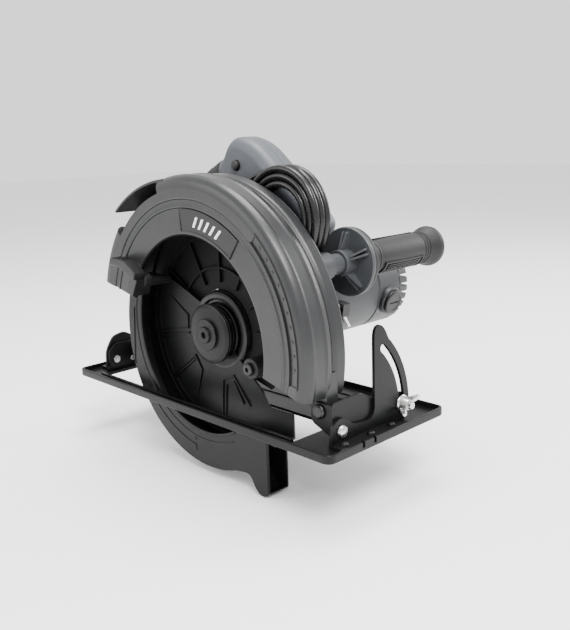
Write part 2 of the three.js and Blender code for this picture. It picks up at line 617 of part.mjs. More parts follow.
function band(from, to, width) {
  const along = new THREE.Vector2(to[0] - from[0], to[1] - from[1]).normalize();
  const side = new THREE.Vector2(-along.y, along.x).multiplyScalar(width / 2);
  return outline([[from[0] + side.x, from[1] + side.y], [from[0] - side.x, from[1] - side.y],
    [to[0] - side.x, to[1] - side.y], [to[0] + side.x, to[1] + side.y]]);
}

const lowRadius = 35;
const auxNear = GUARD_RIM_END + 1;

function gearHousing() {
  const shell = join(
    disc(BOSS_RADIUS, 7.5, HOUSING_NARROW),
    disc(lowRadius, HOUSING_NARROW - 1, COVER_START - TOUCH),
    disc(MOTOR_RADIUS, HOUSING_START, COVER_START - TOUCH, MOTOR_X, MOTOR_Z),
    disc(NOSE_RADIUS, -1, 8.5),
    slabXZ(band([MOTOR_X, MOTOR_Z - 10], [aux[0] - 2, aux[1] - 4], 16), auxNear + 2, 32),
    disc(12, auxNear, 34, ...aux),
    disc(AUX_STALK_RADIUS, 33, 47.7, ...aux),
    slabXZ(band([-20, -2], depthBolt, 18), lugNear + 3, lugFar),
    disc(11, lugNear, lugFar, ...depthBolt));
  return cut(shell,
    disc(14, -2, 1),
    disc(17.5 + HOLE_PLAY, 0, HOUSING_START),
    disc(GEAR_TEETH * GEAR_MODULE / 2 + 2, HOUSING_START - 1, COVER_START),
    disc(12, HOUSING_START - 1, COVER_START, MOTOR_X, MOTOR_Z),
    disc(MOTOR_RADIUS - 12, COVER_START - 5, COVER_START, MOTOR_X, MOTOR_Z),
    disc(AUX_STUD + HOLE_PLAY, 24, 60, ...aux),
    disc(DEPTH_BOLT + HOLE_PLAY, lugNear - 1, lugFar + 1, ...depthBolt),
    disc(3.4, -4, 4).rotateZ(-Math.PI / 2).translate(-36, 20, 8));
}
add(sawBody, 'gear_housing', gearHousing(), housingPlastic);

function gearCover() {
  const plate = join(disc(lowRadius, COVER_START, MOTOR_START - TOUCH),
    disc(MOTOR_RADIUS, COVER_START, MOTOR_START - TOUCH, MOTOR_X, MOTOR_Z),
    ring(15 + HOLE_PLAY, 18, 27.5, COVER_START + 1),
    ring(15 + HOLE_PLAY, 18, MOTOR_START - 1, 49.5, MOTOR_X, MOTOR_Z));
  return cut(plate,
    disc(15 + HOLE_PLAY, 26, 37),
    disc(15 + HOLE_PLAY, 39.5, 55, MOTOR_X, MOTOR_Z),
    disc(8, 30, 45, MOTOR_X, MOTOR_Z));
}
add(sawBody, 'gear_cover', gearCover(), castAlloy);

add(sawBody, 'spindle_front_bearing', ring(SPINDLE_RADIUS + TOUCH, 17.5, 0.3, 11.3), steel);
add(sawBody, 'spindle_rear_bearing', ring(SHAFT_RADIUS + TOUCH, 15, 28, 36.6), steel);
add(sawBody, 'armature_front_bearing', ring(SHAFT_RADIUS + TOUCH, 15, 40, 49, MOTOR_X, MOTOR_Z), steel);
add(sawBody, 'armature_rear_bearing', ring(4 + TOUCH, 11, 188, 195, MOTOR_X, MOTOR_Z), steel);

add(sawBody, 'spindle', cut(turned([[0, -9], [SPINDLE_RADIUS, -9], [SPINDLE_RADIUS, 27],
  [SHAFT_RADIUS, 27], [SHAFT_RADIUS, 36],
  [0, 36]]), disc(ARBOR_THREAD + HOLE_PLAY, -10, 10)), steel);
add(sawBody, 'spindle_gear', cut(slabXZ(gearOutline(GEAR_TEETH, 0.02, degrees(52)),
  GEAR_START, GEAR_START + GEAR_WIDTH),
  disc(SPINDLE_RADIUS + HOLE_PLAY, 0, 40)), steel);
add(sawBody, 'pinion', cut(slabXZ(gearOutline(PINION_TEETH, 0.02, degrees(52 + 180 + 18)), GEAR_START - 1,
  GEAR_START + GEAR_WIDTH + 1).translate(MOTOR_X, 0, MOTOR_Z), disc(3 + HOLE_PLAY, 0, 40, MOTOR_X,
    MOTOR_Z)), steel);
add(sawBody, 'inner_flange', turned([[SPINDLE_RADIUS + HOLE_PLAY, -7.7], [20, -7.7], [20, -7], [27, -7],
  [27, -7.7],
  [FLANGE_RADIUS, -7.7], [FLANGE_RADIUS, -5.5], [18, -2.2], [SPINDLE_RADIUS + HOLE_PLAY, -2.2],
  [SPINDLE_RADIUS + HOLE_PLAY, -7.7]]), steel);
add(sawBody, 'outer_flange', turned([[4.8, -13.2], [14, -13.2], [16, -12], [26, -11.4],
  [FLANGE_RADIUS, -9.6], [FLANGE_RADIUS, -8],
  [24, -8], [22, -9], [SPINDLE_RADIUS + HOLE_PLAY, -9], [SPINDLE_RADIUS + HOLE_PLAY, -9.4], [4.8, -9.4],
    [4.8, -13.2]]), blackPaint);
function arborBolt() {
  const head = turned([[0, -17], [7.4, -17], [8, -16.4], [8, -15], [15.5, -15], [15.5, -13.5], [0, -13.5]]);
  return cut(join(head, disc(ARBOR_THREAD, -14, 8)), disc(3.6, -18, -14.6, 0, 0, 6));
}
add(sawBody, 'arbor_bolt', arborBolt(), blackPaint);
add(sawBody, 'guard_return_spring', ring(29, 31.4, 4.9, 7.1), steel);
add(sawBody, 'guard_circlip', ring(NOSE_RADIUS + TOUCH, 25, -0.2, 1.6), steel);

add(sawBody, 'spindle_lock_button', disc(3, -12, 6.6).rotateZ(-Math.PI / 2).translate(-48, 20, 8),
  blackPlastic);

// ==== motor ====

function motorHousing() {
  const tube = ring(MOTOR_RADIUS - MOTOR_WALL, MOTOR_RADIUS, MOTOR_START, CAP_START - TOUCH);
  const bosses = [0, Math.PI].map((turn) => disc(15, MOTOR_RADIUS - 5, MOTOR_RADIUS + 4)
    .rotateZ(-Math.PI / 2).rotateY(brushTurn + turn).translate(0, BRUSH_Y, 0));
  const bores = [0, Math.PI].map((turn) => disc(BRUSH_BORE, 20, MOTOR_RADIUS + 10)
    .rotateZ(-Math.PI / 2).rotateY(brushTurn + turn).translate(0, BRUSH_Y, 0));
  const clear = disc(MOTOR_RADIUS - MOTOR_WALL, MOTOR_START + 1, CAP_START - 1);
  return cut(join(tube, ...bosses), clear, ...bores).translate(MOTOR_X, 0, MOTOR_Z);
}
const BRUSH_Y = 170;
const BRUSH_BORE = 7.5;
const brushTurn = degrees(17) - REST_TILT;
add(sawBody, 'motor_housing', motorHousing(), housingPlastic);

function motorCap() {
  const shell = turned([[MOTOR_RADIUS - MOTOR_WALL, CAP_START], [MOTOR_RADIUS, CAP_START],
    [MOTOR_RADIUS, MOTOR_END - 6],
    [MOTOR_RADIUS - 4, MOTOR_END], [0, MOTOR_END], [0, MOTOR_END - MOTOR_WALL],
      [MOTOR_RADIUS - 6, MOTOR_END - MOTOR_WALL],
    [MOTOR_RADIUS - MOTOR_WALL, MOTOR_END - 7], [MOTOR_RADIUS - MOTOR_WALL, CAP_START]]);
  const seat = ring(11 + HOLE_PLAY, 14, 188, MOTOR_END - MOTOR_WALL + 1);
  const slots = [-27, -18, 18, 27].map((z) => box(-60, 60, CAP_START + 3, MOTOR_END + 5, z - 2, z + 2));
  const sideSlots = [-9, 0, 9].flatMap((z) => [-1, 1].map((side) =>
    box(side > 0 ? 20 : -60, side > 0 ? 60 : -20, CAP_START + 3, MOTOR_END + 5, z - 2, z + 2)));
  return cut(join(shell, seat), ...slots, ...sideSlots).rotateY(-REST_TILT).translate(MOTOR_X, 0, MOTOR_Z);
}
add(sawBody, 'motor_end_cap', motorCap(), housingPlastic);

const fitMotor = (geometry) => geometry.translate(MOTOR_X, 0, MOTOR_Z);
function brushCap(turn) {
  const seat = MOTOR_RADIUS + 4 + TOUCH;
  const cap = cut(turned([[0, 40], [BRUSH_BORE - HOLE_PLAY, 40], [BRUSH_BORE - HOLE_PLAY, seat], [13, seat],
    [13, MOTOR_RADIUS + 6.5], [11.5, MOTOR_RADIUS + 7.5], [0, MOTOR_RADIUS + 7.5]]),
  box(-7, 7, MOTOR_RADIUS + 6, MOTOR_RADIUS + 9, -0.8, 0.8));
  return fitMotor(cap.rotateZ(-Math.PI / 2).rotateY(brushTurn + turn).translate(0, BRUSH_Y, 0));
}
add(sawBody, 'front_brush_cap', brushCap(0), blackPlastic);
add(sawBody, 'rear_brush_cap', brushCap(Math.PI), blackPlastic);

function fieldCore() {
  const core = ring(24, MOTOR_RADIUS - MOTOR_WALL - HOLE_PLAY, 84, 142);
  return fitMotor(core);
}
add(sawBody, 'field_core', fieldCore(), steel);
add(sawBody, 'armature_shaft', fitMotor(turned([[0, GEAR_START - 1], [3, GEAR_START - 1], [3, 27.5],
  [SHAFT_RADIUS, 27.5],
  [SHAFT_RADIUS, 184], [4, 184], [4, 196], [0, 196]])), steel);
function armatureCore() {
  const slots = Array.from({ length: 12 }, (_, index) =>
    box(19, 25, 80, 150, -1.2, 1.2).rotateY(index * Math.PI / 6));
  return fitMotor(cut(ring(SHAFT_RADIUS + HOLE_PLAY, 23, 86, 140), ...slots));
}
add(sawBody, 'armature_core', armatureCore(), copper);
add(sawBody, 'commutator', fitMotor(ring(SHAFT_RADIUS + HOLE_PLAY, 13, 158, 181)), copper);

function fan() {
  const hub = ring(SHAFT_RADIUS + HOLE_PLAY, 12, 56, 70);
  const plate = ring(11, 37, 56, 58);
  const blades = Array.from({ length: 9 }, (_, index) =>
    box(11, 36, 57, 69, -0.8, 0.8).rotateY(index * 2 * Math.PI / 9));
  return fitMotor(join(hub, plate, ...blades));
}
add(sawBody, 'cooling_fan', fan(), blackPlastic);

// ==== main handle ====

// The outline runs from the front foot over the horn and down the grip to the rear foot.
const handleCorners = [[60, 30], [61, 78, 3], [57, 92, 8], [61, 106, 8], [66, 123, 9], [44, 137, 14],
  [-3, 163, 30], [-31, 176, 18],
  [-62, 176, 12], [-70, 152, 8], [-86, 139, 14], [-126, 97, 24], [-144, 74, 14], [-141, 50, 12],
    [-112, 32, 20], [-60, 22, 10],
  [-10, 14]];
const handCorners = [[-28, 134, 12], [-50, 129, 10], [-106, 73, 12], [-106, 56, 11], [-40, 55, 14],
  [-6, 76, 10], [6, 98, 12]];

function shrink(corners, distance) {
  const centre = (index) => new THREE.Vector2(corners[index][0], corners[index][1]);
  return corners.map((corner, index) => {
    const here = centre(index);
    const before = here.clone().sub(centre((index + corners.length - 1) % corners.length)).normalize();
    const after = centre((index + 1) % corners.length).sub(here).normalize();
    const normal = new THREE.Vector2(-before.y - after.y, before.x + after.x).normalize();
    const stretch = distance / Math.max(0.5, normal.x * -before.y + normal.y * before.x);
    return [corner[0] + normal.x * stretch, corner[1] + normal.y * stretch, Math.max(1.5,
      (corner[2] || 0) - distance)];
  });
}

function roundedSlab(corners, hole, y0, y1, rounding) {
  const shape = outline(corners);
  shape.holes.push(outline(hole));
  const depth = y1 - y0 - 2 * rounding;
  const options = { depth, bevelEnabled: true, bevelThickness: rounding, bevelSize: rounding,
    bevelOffset: -rounding,
    bevelSegments: 1, curveSegments: 3, steps: 1 };
  return new THREE.ExtrudeGeometry(shape, options).rotateX(Math.PI / 2).translate(0, y1 - rounding, 0);
}

const TRIGGER_PIVOT = [-55, 124];
const LOCK_OFF = [-46, 150];
const triggerHalf = 8;

function handleWhole() {
  const outside = roundedSlab(handleCorners, handCorners, HANDLE_START, HANDLE_START + HANDLE_WIDTH,
    HANDLE_ROUND);
  const hollow = outline(shrink(handleCorners, HANDLE_SKIN));
  hollow.holes.push(outline(shrink(handCorners, -HANDLE_SKIN)));
  const inside = slabXZ(hollow, HANDLE_START + HANDLE_WALL, HANDLE_START + HANDLE_WIDTH - HANDLE_WALL, 2);
  const triggerGap = slabXZ(outline([[-46, 131], [-65, 131], [-98, 100], [-98, 80], [-80, 80], [-46, 119]]),
    HANDLE_MIDDLE - triggerHalf - RUNNING, HANDLE_MIDDLE + triggerHalf + RUNNING);
  const gland = disc(7 + TOUCH, -30, 30).rotateZ(Math.PI / 2).rotateY(glandTilt)
    .translate(glandPlace[0], HANDLE_MIDDLE, glandPlace[1]);
  return cut(outside, inside, triggerGap, gland,
    disc(MOTOR_RADIUS + TOUCH, 0, 200, MOTOR_X, MOTOR_Z),
    disc(AUX_FLANGE_RADIUS + 3, 0, 200, ...aux),
    disc(2.5 + HOLE_PLAY, HANDLE_START + HANDLE_WALL, HANDLE_START + HANDLE_WIDTH - HANDLE_WALL,
      ...TRIGGER_PIVOT),
    disc(5 + HOLE_PLAY, 0, HANDLE_MIDDLE, ...LOCK_OFF));
}

// The cord leaves the rear of the handle, sloping down.
const glandPlace = [-141, 60];
const glandTilt = degrees(-20) - REST_TILT;

const wholeHandle = handleWhole();
const halfGap = TOUCH / 2;
add(sawBody, 'handle_near_half', common(wholeHandle, box(-300, 300, 0, HANDLE_MIDDLE - halfGap, -100,
  300)), housingPlastic);
add(sawBody, 'handle_far_half', common(wholeHandle, box(-300, 300, HANDLE_MIDDLE + halfGap, 200, -100,
  300)), housingPlastic);

add(sawBody, 'trigger', join(slabXZ(outline([[-49, 122, 4], [-54, 130, 5], [-62, 127, 3], [-87, 101, 3],
  [-90, 88, 3],
  [-78, 84, 5], [-66, 99, 14], [-50, 115, 4]]), HANDLE_MIDDLE - triggerHalf, HANDLE_MIDDLE + triggerHalf,
    4),
  disc(2.5, HANDLE_START + HANDLE_WALL + TOUCH, HANDLE_START + HANDLE_WIDTH - HANDLE_WALL - TOUCH,
    ...TRIGGER_PIVOT)),
  blackPlastic);
add(sawBody, 'switch_body', slabXZ(outline([[-79, 131], [-106, 102], [-101, 97], [-74, 126]]),
  HANDLE_MIDDLE - triggerHalf, HANDLE_MIDDLE + triggerHalf), blackPlastic);
add(sawBody, 'lock_off_button', turned([[0, HANDLE_START - 3.4], [4.2, HANDLE_START - 3.4],
  [5, HANDLE_START - 2.6], [5, HANDLE_START + 12],
  [0, HANDLE_START + 12]], ...LOCK_OFF), blackPlastic);

// ==== auxiliary handle ====

function auxFlange() {
  const face = turned([[AUX_STUD + HOLE_PLAY, 48], [12, 48], [12, AUX_FLANGE_Y],
    [AUX_FLANGE_RADIUS - 1, AUX_FLANGE_Y],
    [AUX_FLANGE_RADIUS, AUX_FLANGE_Y + 1], [AUX_FLANGE_RADIUS, AUX_FLANGE_Y + 4],
      [AUX_STUD + HOLE_PLAY, AUX_FLANGE_Y + 4],
    [AUX_STUD + HOLE_PLAY, 48]]);
  const ribs = [95, 85, 30, 20, -50, -60, 215, 205].map((angle) =>
    box(11, 26, AUX_FLANGE_Y - 5, AUX_FLANGE_Y + 1, -0.9, 0.9).rotateY(-degrees(angle)));
  return join(face, ...ribs).rotateY(-REST_TILT).translate(aux[0], 0, aux[1]);
}
add(sawBody, 'aux_flange', auxFlange(), housingPlastic);
const collarStart = AUX_FLANGE_Y + 4 + TOUCH;
const gripEnd = AUX_END - 16;
add(sawBody, 'aux_grip', turned([[AUX_STUD + HOLE_PLAY, collarStart],
  [AUX_FLANGE_RADIUS - 1.5, collarStart],
  [AUX_FLANGE_RADIUS - 0.5, collarStart + 4], [AUX_GRIP_RADIUS + 2, collarStart + 9],
    [AUX_GRIP_RADIUS - 0.5, collarStart + 30],
  [AUX_GRIP_RADIUS + 1.5, collarStart + 65], [AUX_GRIP_RADIUS + 0.5, gripEnd],
    [AUX_END_RADIUS - 1, gripEnd + 5],
  [AUX_END_RADIUS, gripEnd + 9], [AUX_END_RADIUS - 2, AUX_END - 2], [AUX_END_RADIUS - 6, AUX_END],
    [0, AUX_END],
  [0, gripEnd - 18], [AUX_STUD + HOLE_PLAY, gripEnd - 18], [AUX_STUD + HOLE_PLAY, collarStart]],
    ...aux), softRubber);
add(sawBody, 'aux_stud', disc(AUX_STUD, 26, gripEnd - 20, ...aux), zinc);

// ==== depth lock, hex key ====

add(sawBody, 'depth_lock_bolt', turned([[0, DEPTH_ARM_Y - 4.5], [8, DEPTH_ARM_Y - 4.5],
  [9, DEPTH_ARM_Y - RUNNING],
  [DEPTH_BOLT, DEPTH_ARM_Y - RUNNING], [DEPTH_BOLT, lugFar + 9], [0, lugFar + 9]], ...depthBolt), zinc);
function depthLever() {
  const hub = disc(10, lugFar + TOUCH, lugFar + 8);
  const bar = slabXZ(outline([[-52, -8, 5], [-52, 5, 5], [0, 8], [0, -8]]), lugFar + 1.5, lugFar + 7);
  return cut(join(hub, bar), disc(DEPTH_BOLT + HOLE_PLAY, 0, 80)).translate(depthBolt[0], 0, depthBolt[1]);
}
add(sawBody, 'depth_lock_lever', depthLever(), blackPlastic);

// The blade key lies against the front of the motor, held in a clip.
const KEY_RADIUS = 2.1;
const KEY_CLEAR = MOTOR_RADIUS + 4.5;
const keyTop = [degrees(12), 83];
const keyEnd = [degrees(-23), 110];

function onMotor([angle, y], radius) {
  return new THREE.Vector3(MOTOR_X + radius * Math.cos(angle), y, MOTOR_Z + radius * Math.sin(angle));
}

function keyRod(radius) {
  const bend = onMotor(keyTop, KEY_CLEAR);
  const tip = onMotor(keyEnd, KEY_CLEAR);
  const along = tip.clone().sub(bend).normalize();
  const points = [bend.clone().add(new THREE.Vector3(0, -22, 0)), bend.clone().add(new THREE.Vector3(0,
    -7, 0)),
    bend.clone().addScaledVector(along, 7), tip];
  const section = new THREE.Shape(Array.from({ length: 6 }, (_, index) =>
    new THREE.Vector2(radius * Math.cos(index * Math.PI / 3), radius * Math.sin(index * Math.PI / 3))));
  const way = new THREE.CatmullRomCurve3(points, false, 'centripetal');
  return new THREE.ExtrudeGeometry(section, { steps: 14, bevelEnabled: false, extrudePath: way });
}

function keyClip() {
  const block = box(MOTOR_RADIUS + TOUCH, MOTOR_RADIUS + 8.5, 87, 97, -6.5, 6.5);
  return cut(block.rotateY(-degrees(4)).translate(MOTOR_X, 0, MOTOR_Z), keyRod(KEY_RADIUS + TOUCH + 0.1));
}
add(sawBody, 'hex_key', keyRod(KEY_RADIUS), zinc);
add(sawBody, 'hex_key_clip', keyClip(), blackPlastic);

// ==== cord ====

function cordTube(points, steps) {
  const section = new THREE.Shape(Array.from({ length: 8 }, (_, index) =>
    new THREE.Vector2(CORD_RADIUS * Math.cos(index * Math.PI / 4),
      CORD_RADIUS * Math.sin(index * Math.PI / 4))));
  const way = new THREE.CatmullRomCurve3(points.map(([x, y, z]) => new THREE.Vector3(x, y,
    z + ARBOR_HEIGHT)), false, 'centripetal');
  return new THREE.ExtrudeGeometry(section, { steps, bevelEnabled: false, extrudePath: way });
}

// Heights here are above the arbor. The lead loops back under the handle and over the gear housing.
const leadPoints = [[-150.8, 60.3, 81.9], [-158.5, 60.3, 79.1], [-168, 59.8, 74.6], [-180, 57, 67],
  [-188, 50, 57],
  [-190, 41, 44], [-181, 32.5, 32], [-166, 28.6, 25], [-146, 28, 22.6], [-118, 28, 25], [-88, 28, 29.8],
    [-58, 26.5, 35], [-34, 23.5, 42], [-14, 21.8, 52],
  [2, 21.8, 65.2], [18, 21.8, 74], [36, 21.8, 75.6], [52, 21.8, 72], [63, 21.8, 69.6], [72, 21.8, 69]];
const tailPoints = [[72, 35, 155], [54, 34.5, 153.6], [36, 33.6, 149.5], [19, 33, 142], [8, 33, 133],
  [4.2, 33, 127], [4, 33, 122.8]];

const coilZone = ring(COIL_INNER - TOUCH, COIL_OUTER + TOUCH, COIL_NEAR - TOUCH, COIL_FAR + TOUCH, COIL_X,
  COIL_Z);
add(shoeGroup, 'cord_lead', cut(cordTube(leadPoints, 36), coilZone), cordRubber);
add(shoeGroup, 'cord_coil', ring(COIL_INNER, COIL_OUTER, COIL_NEAR, COIL_FAR, COIL_X, COIL_Z), cordRubber);
add(shoeGroup, 'cord_tail', cut(cordTube(tailPoints, 12), coilZone), cordRubber);

function glandSleeve() {
  const sleeve = turned([[CORD_RADIUS + TOUCH, -12], [6.7, -12], [6.7, 0], [5.8, 12], [4.8, 30],
    [CORD_RADIUS + TOUCH, 30],
    [CORD_RADIUS + TOUCH, -12]]);
  return sleeve.rotateZ(Math.PI / 2).rotateY(glandTilt).translate(glandPlace[0],
    HANDLE_MIDDLE, glandPlace[1]);
}
add(sawBody, 'cord_strain_relief', glandSleeve(), cordRubber);

function plug() {
  const body = slabXZ(outline([[-4.5, 0, 1], [4.5, 0, 1], [6, -12, 3], [13.5, -19, 5], [13.5, -39, 2],
    [-13.5, -39, 2], [-13.5, -19, 5],
    [-6, -12, 3]]), -8, 8, 4);
  const pins = [-6.35, 6.35].map((x) => box(x - 0.75, x + 0.75, -3.2, 3.2, -55, -38));
  return join(body, ...pins).translate(4, 33, 122.2 + ARBOR_HEIGHT);
}
add(shoeGroup, 'plug', plug(), cordRubber);

export default saw;
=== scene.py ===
"""Hand-held circular saw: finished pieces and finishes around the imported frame."""

import json
import math

import bmesh
import bpy
from mathutils import Matrix, Vector

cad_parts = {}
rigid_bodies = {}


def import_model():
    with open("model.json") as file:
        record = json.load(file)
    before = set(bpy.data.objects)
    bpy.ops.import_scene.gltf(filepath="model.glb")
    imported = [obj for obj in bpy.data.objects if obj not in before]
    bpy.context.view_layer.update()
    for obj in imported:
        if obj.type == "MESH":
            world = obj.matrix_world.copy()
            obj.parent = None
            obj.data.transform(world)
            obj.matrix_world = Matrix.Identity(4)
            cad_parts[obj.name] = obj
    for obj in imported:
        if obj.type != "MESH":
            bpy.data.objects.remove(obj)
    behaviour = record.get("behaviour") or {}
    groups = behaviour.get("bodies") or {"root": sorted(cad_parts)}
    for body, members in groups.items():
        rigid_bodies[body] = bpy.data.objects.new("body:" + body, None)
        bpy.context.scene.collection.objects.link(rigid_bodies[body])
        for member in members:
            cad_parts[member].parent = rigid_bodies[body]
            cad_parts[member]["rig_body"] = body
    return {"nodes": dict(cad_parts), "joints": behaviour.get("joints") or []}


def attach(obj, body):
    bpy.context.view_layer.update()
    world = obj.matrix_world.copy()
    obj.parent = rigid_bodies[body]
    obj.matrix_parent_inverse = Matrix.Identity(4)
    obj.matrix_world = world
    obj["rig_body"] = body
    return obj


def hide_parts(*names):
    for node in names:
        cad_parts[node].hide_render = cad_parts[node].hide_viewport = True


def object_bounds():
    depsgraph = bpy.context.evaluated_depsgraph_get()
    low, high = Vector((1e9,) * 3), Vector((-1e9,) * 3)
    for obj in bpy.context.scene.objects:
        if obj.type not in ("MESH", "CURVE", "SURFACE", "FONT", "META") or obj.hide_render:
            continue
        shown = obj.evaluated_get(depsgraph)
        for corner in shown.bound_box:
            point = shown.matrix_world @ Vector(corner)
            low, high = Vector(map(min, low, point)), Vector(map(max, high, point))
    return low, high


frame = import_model()
cad_box = [list(corner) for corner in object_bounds()]
joints = {joint["name"]: joint for joint in frame["joints"]}

# ---- places taken from the frame ----
# Shapes are drawn in millimetres, with y counted from the arbor joint. ON_SOLE sets one down on the sole,
# AT_ARBOR about the arbor, and TILTED about the arbor with the tilt that the saw rests at, in degrees.
ARBOR = Vector(joints["spindle_turn"]["pos_m"])
REST_TILT = 14
MILLIMETRES = Matrix.Scale(0.001, 4)
ON_SOLE = Matrix.Translation((0, ARBOR.y, 0)) @ MILLIMETRES
AT_ARBOR = Matrix.Translation(ARBOR) @ MILLIMETRES
TILTED = Matrix.Translation(ARBOR) @ Matrix.Rotation(math.radians(REST_TILT), 4, "Y") @ MILLIMETRES
BEVEL_PLACE = Vector(joints["bevel_tilt"]["pos_m"])
DEPTH_PLACE = Vector(joints["depth_swing"]["pos_m"])


def sole_mm(point):
    """A place in the frame's metres, as the millimetres that ON_SOLE takes."""
    return (point[0] * 1000, (point[1] - ARBOR.y) * 1000, point[2] * 1000)


def placed(name, data):
    """A new object that holds data, put in the scene."""
    made = bpy.data.objects.new(name, data)
    bpy.context.scene.collection.objects.link(made)
    return made


# ---- camera ----
def make_camera():
    lens = bpy.data.cameras.new("studio_camera")
    camera = placed("studio_camera", lens)
    azimuth, elevation, roll = math.radians(46.1), math.radians(12.9), math.radians(-1.9)
    back = Vector((math.sin(azimuth) * math.cos(elevation), -math.cos(azimuth) * math.cos(elevation),
                   math.sin(elevation)))
    level = Vector((math.cos(azimuth), math.sin(azimuth), 0))
    upright = back.cross(level)
    right = math.cos(roll) * level + math.sin(roll) * upright
    up = -math.sin(roll) * level + math.cos(roll) * upright
    turn = Matrix((right, up, back)).transposed().to_4x4()
    camera.matrix_world = Matrix.Translation(ARBOR + Vector((0.5778, -0.4641, 0.1837))) @ turn
    lens.lens = 44.86
    lens.sensor_width = 36
    lens.clip_start = 0.01
    bpy.context.scene.camera = camera


make_camera()


# ---- modelling helpers ----
def soften(corners, steps=6):
    """A closed outline from corners (a, b) or (a, b, rounding)."""
    points = []
    for index, corner in enumerate(corners):
        here = Vector(corner[:2])
        rounding = corner[2] if len(corner) > 2 else 0
        before = Vector(corners[index - 1][:2]) - here
        after = Vector(corners[(index + 1) % len(corners)][:2]) - here
        rounding = min(rounding, 0.47 * before.length, 0.47 * after.length)
        if rounding <= 0:
            points.append((here.x, here.y))
            continue
        start, end = here + before.normalized() * rounding, here + after.normalized() * rounding
        for step in range(steps + 1):
            share = step / steps
            point = start * (1 - share) ** 2 + here * 2 * share * (1 - share) + end * share ** 2
            points.append((point.x, point.y))
    return points


def polar(radius, angle):
    """The two coordinates of a point at that radius and angle in degrees."""
    return radius * math.cos(math.radians(angle)), radius * math.sin(math.radians(angle))


def arc(radius, start, end, steps, centre=(0, 0)):
    """Points along an arc, angles in degrees."""
    offsets = [polar(radius, start + (end - start) * step / steps) for step in range(steps + 1)]
    return [(centre[0] + across, centre[1] + along) for across, along in offsets]


def arc_slot(radius, width, start, end, centre=(0, 0)):
    """The outline of a slot along an arc, with round ends."""
    half = width / 2
    first = Vector(centre) + radius * Vector((math.cos(math.radians(start)), math.sin(math.radians(start))))
    last = Vector(centre) + radius * Vector((math.cos(math.radians(end)), math.sin(math.radians(end))))
    return (arc(radius + half, start, end, 40, centre) + arc(half, end, end + 180, 12, last)[1:-1]
            + arc(radius - half, end, start, 40, centre) + arc(half, start + 180, start + 360, 12,
                                                               first)[1:-1])


PLANES = {"XZ": lambda a, b, h: (a, h, b), "XY": lambda a, b, h: (a, b, h), "YZ": lambda a, b, h: (h, a, b)}


def rim_edges(shape, low, high, axis):
    """Edges that lie flat in either of two end planes."""
    found = []
    for edge in shape.edges:
        ends = [corner.co[axis] for corner in edge.verts]
        if max(abs(end - low) for end in ends) < 1e-4 or max(abs(end - high) for end in ends) < 1e-4:
            found.append(edge)
    return found


def round_edges(shape, edges, width, segments=2):
    bmesh.ops.bevel(shape, geom=edges, offset=width, offset_type="OFFSET", segments=segments, profile=0.5,
                    affect="EDGES", clamp_overlap=True, material=-1)


def plate(points, low, high, plane="XZ", edge=0.0, segments=2):
    """A flat piece with that outline, between two heights, with its rims rounded by edge."""
    shape = bmesh.new()
    place = PLANES[plane]
    face = shape.faces.new([shape.verts.new(place(a, b, low)) for a, b in points])
    moved = bmesh.ops.extrude_face_region(shape, geom=[face])
    corners = [item for item in moved["geom"] if isinstance(item, bmesh.types.BMVert)]
    bmesh.ops.translate(shape, vec=Vector(place(0, 0, high - low)), verts=corners)
    bmesh.ops.recalc_face_normals(shape, faces=shape.faces)
    if edge:
        round_edges(shape, rim_edges(shape, low, high, {"XZ": 1, "XY": 2, "YZ": 0}[plane]), edge, segments)
    return shape


def block(x0, x1, y0, y1, z0, z1, edge=0.0):
    shape = bmesh.new()
    bmesh.ops.create_cube(shape, size=1)
    bmesh.ops.scale(shape, vec=(x1 - x0, y1 - y0, z1 - z0), verts=shape.verts)
    bmesh.ops.translate(shape, vec=((x0 + x1) / 2, (y0 + y1) / 2, (z0 + z1) / 2), verts=shape.verts)
    if edge:
        round_edges(shape, shape.edges[:], edge)
    return shape


def fill_holes(shape):
    bmesh.ops.holes_fill(shape, edges=[edge for edge in shape.edges if edge.is_boundary], sides=0)


def cut_away(shape, place, way):
    """Drops what lies beyond a plane, on the side that way points to, and closes the cut."""
    everything = shape.verts[:] + shape.edges[:] + shape.faces[:]
    bmesh.ops.bisect_plane(shape, geom=everything, plane_co=place, plane_no=way, clear_outer=True)
    fill_holes(shape)


def lathe(profile, steps=96, start=0, end=360, closed=False):
    """A turned piece about Y from (radius, y) points, or a sector of one."""
    shape = bmesh.new()
    corners = [shape.verts.new((radius, height, 0)) for radius, height in profile]
    edges = [shape.edges.new(pair) for pair in zip(corners, corners[1:])]
    if closed:
        edges.append(shape.edges.new((corners[-1], corners[0])))
    whole = end - start >= 360
    bmesh.ops.rotate(shape, verts=corners, cent=(0, 0, 0),
                     matrix=Matrix.Rotation(-math.radians(start), 3, "Y"))
    bmesh.ops.spin(shape, geom=corners + edges, cent=(0, 0, 0), axis=(0, -1, 0),
                   angle=math.radians(end - start), steps=steps, use_merge=whole)
    bmesh.ops.remove_doubles(shape, verts=shape.verts, dist=1e-4)
    if not whole:
        fill_holes(shape)
    bmesh.ops.recalc_face_normals(shape, faces=shape.faces)
    return shape


def turn(shape, angle, axis):
    bmesh.ops.rotate(shape, verts=shape.verts, cent=(0, 0, 0),
                     matrix=Matrix.Rotation(math.radians(angle), 3, axis))
    return shape


def move(shape, x=0, y=0, z=0):
    bmesh.ops.translate(shape, vec=(x, y, z), verts=shape.verts)
    return shape


def rod(radius, low, high, edge=0.0, steps=48):
    """A solid round bar along Y."""
    ends = [(0, low), (radius - edge, low), (radius, low + edge), (radius, high - edge),
            (radius - edge, high), (0, high)]
    if not edge:
        ends = [(0, low), (radius, low), (radius, high), (0, high)]
    return lathe(ends, steps)


def ring(inner, outer, low, high, steps, start, end):
    """A sector of a turned ring with a square section."""
    return lathe([(inner, low), (outer, low), (outer, high), (inner, high)], steps, start, end, closed=True)


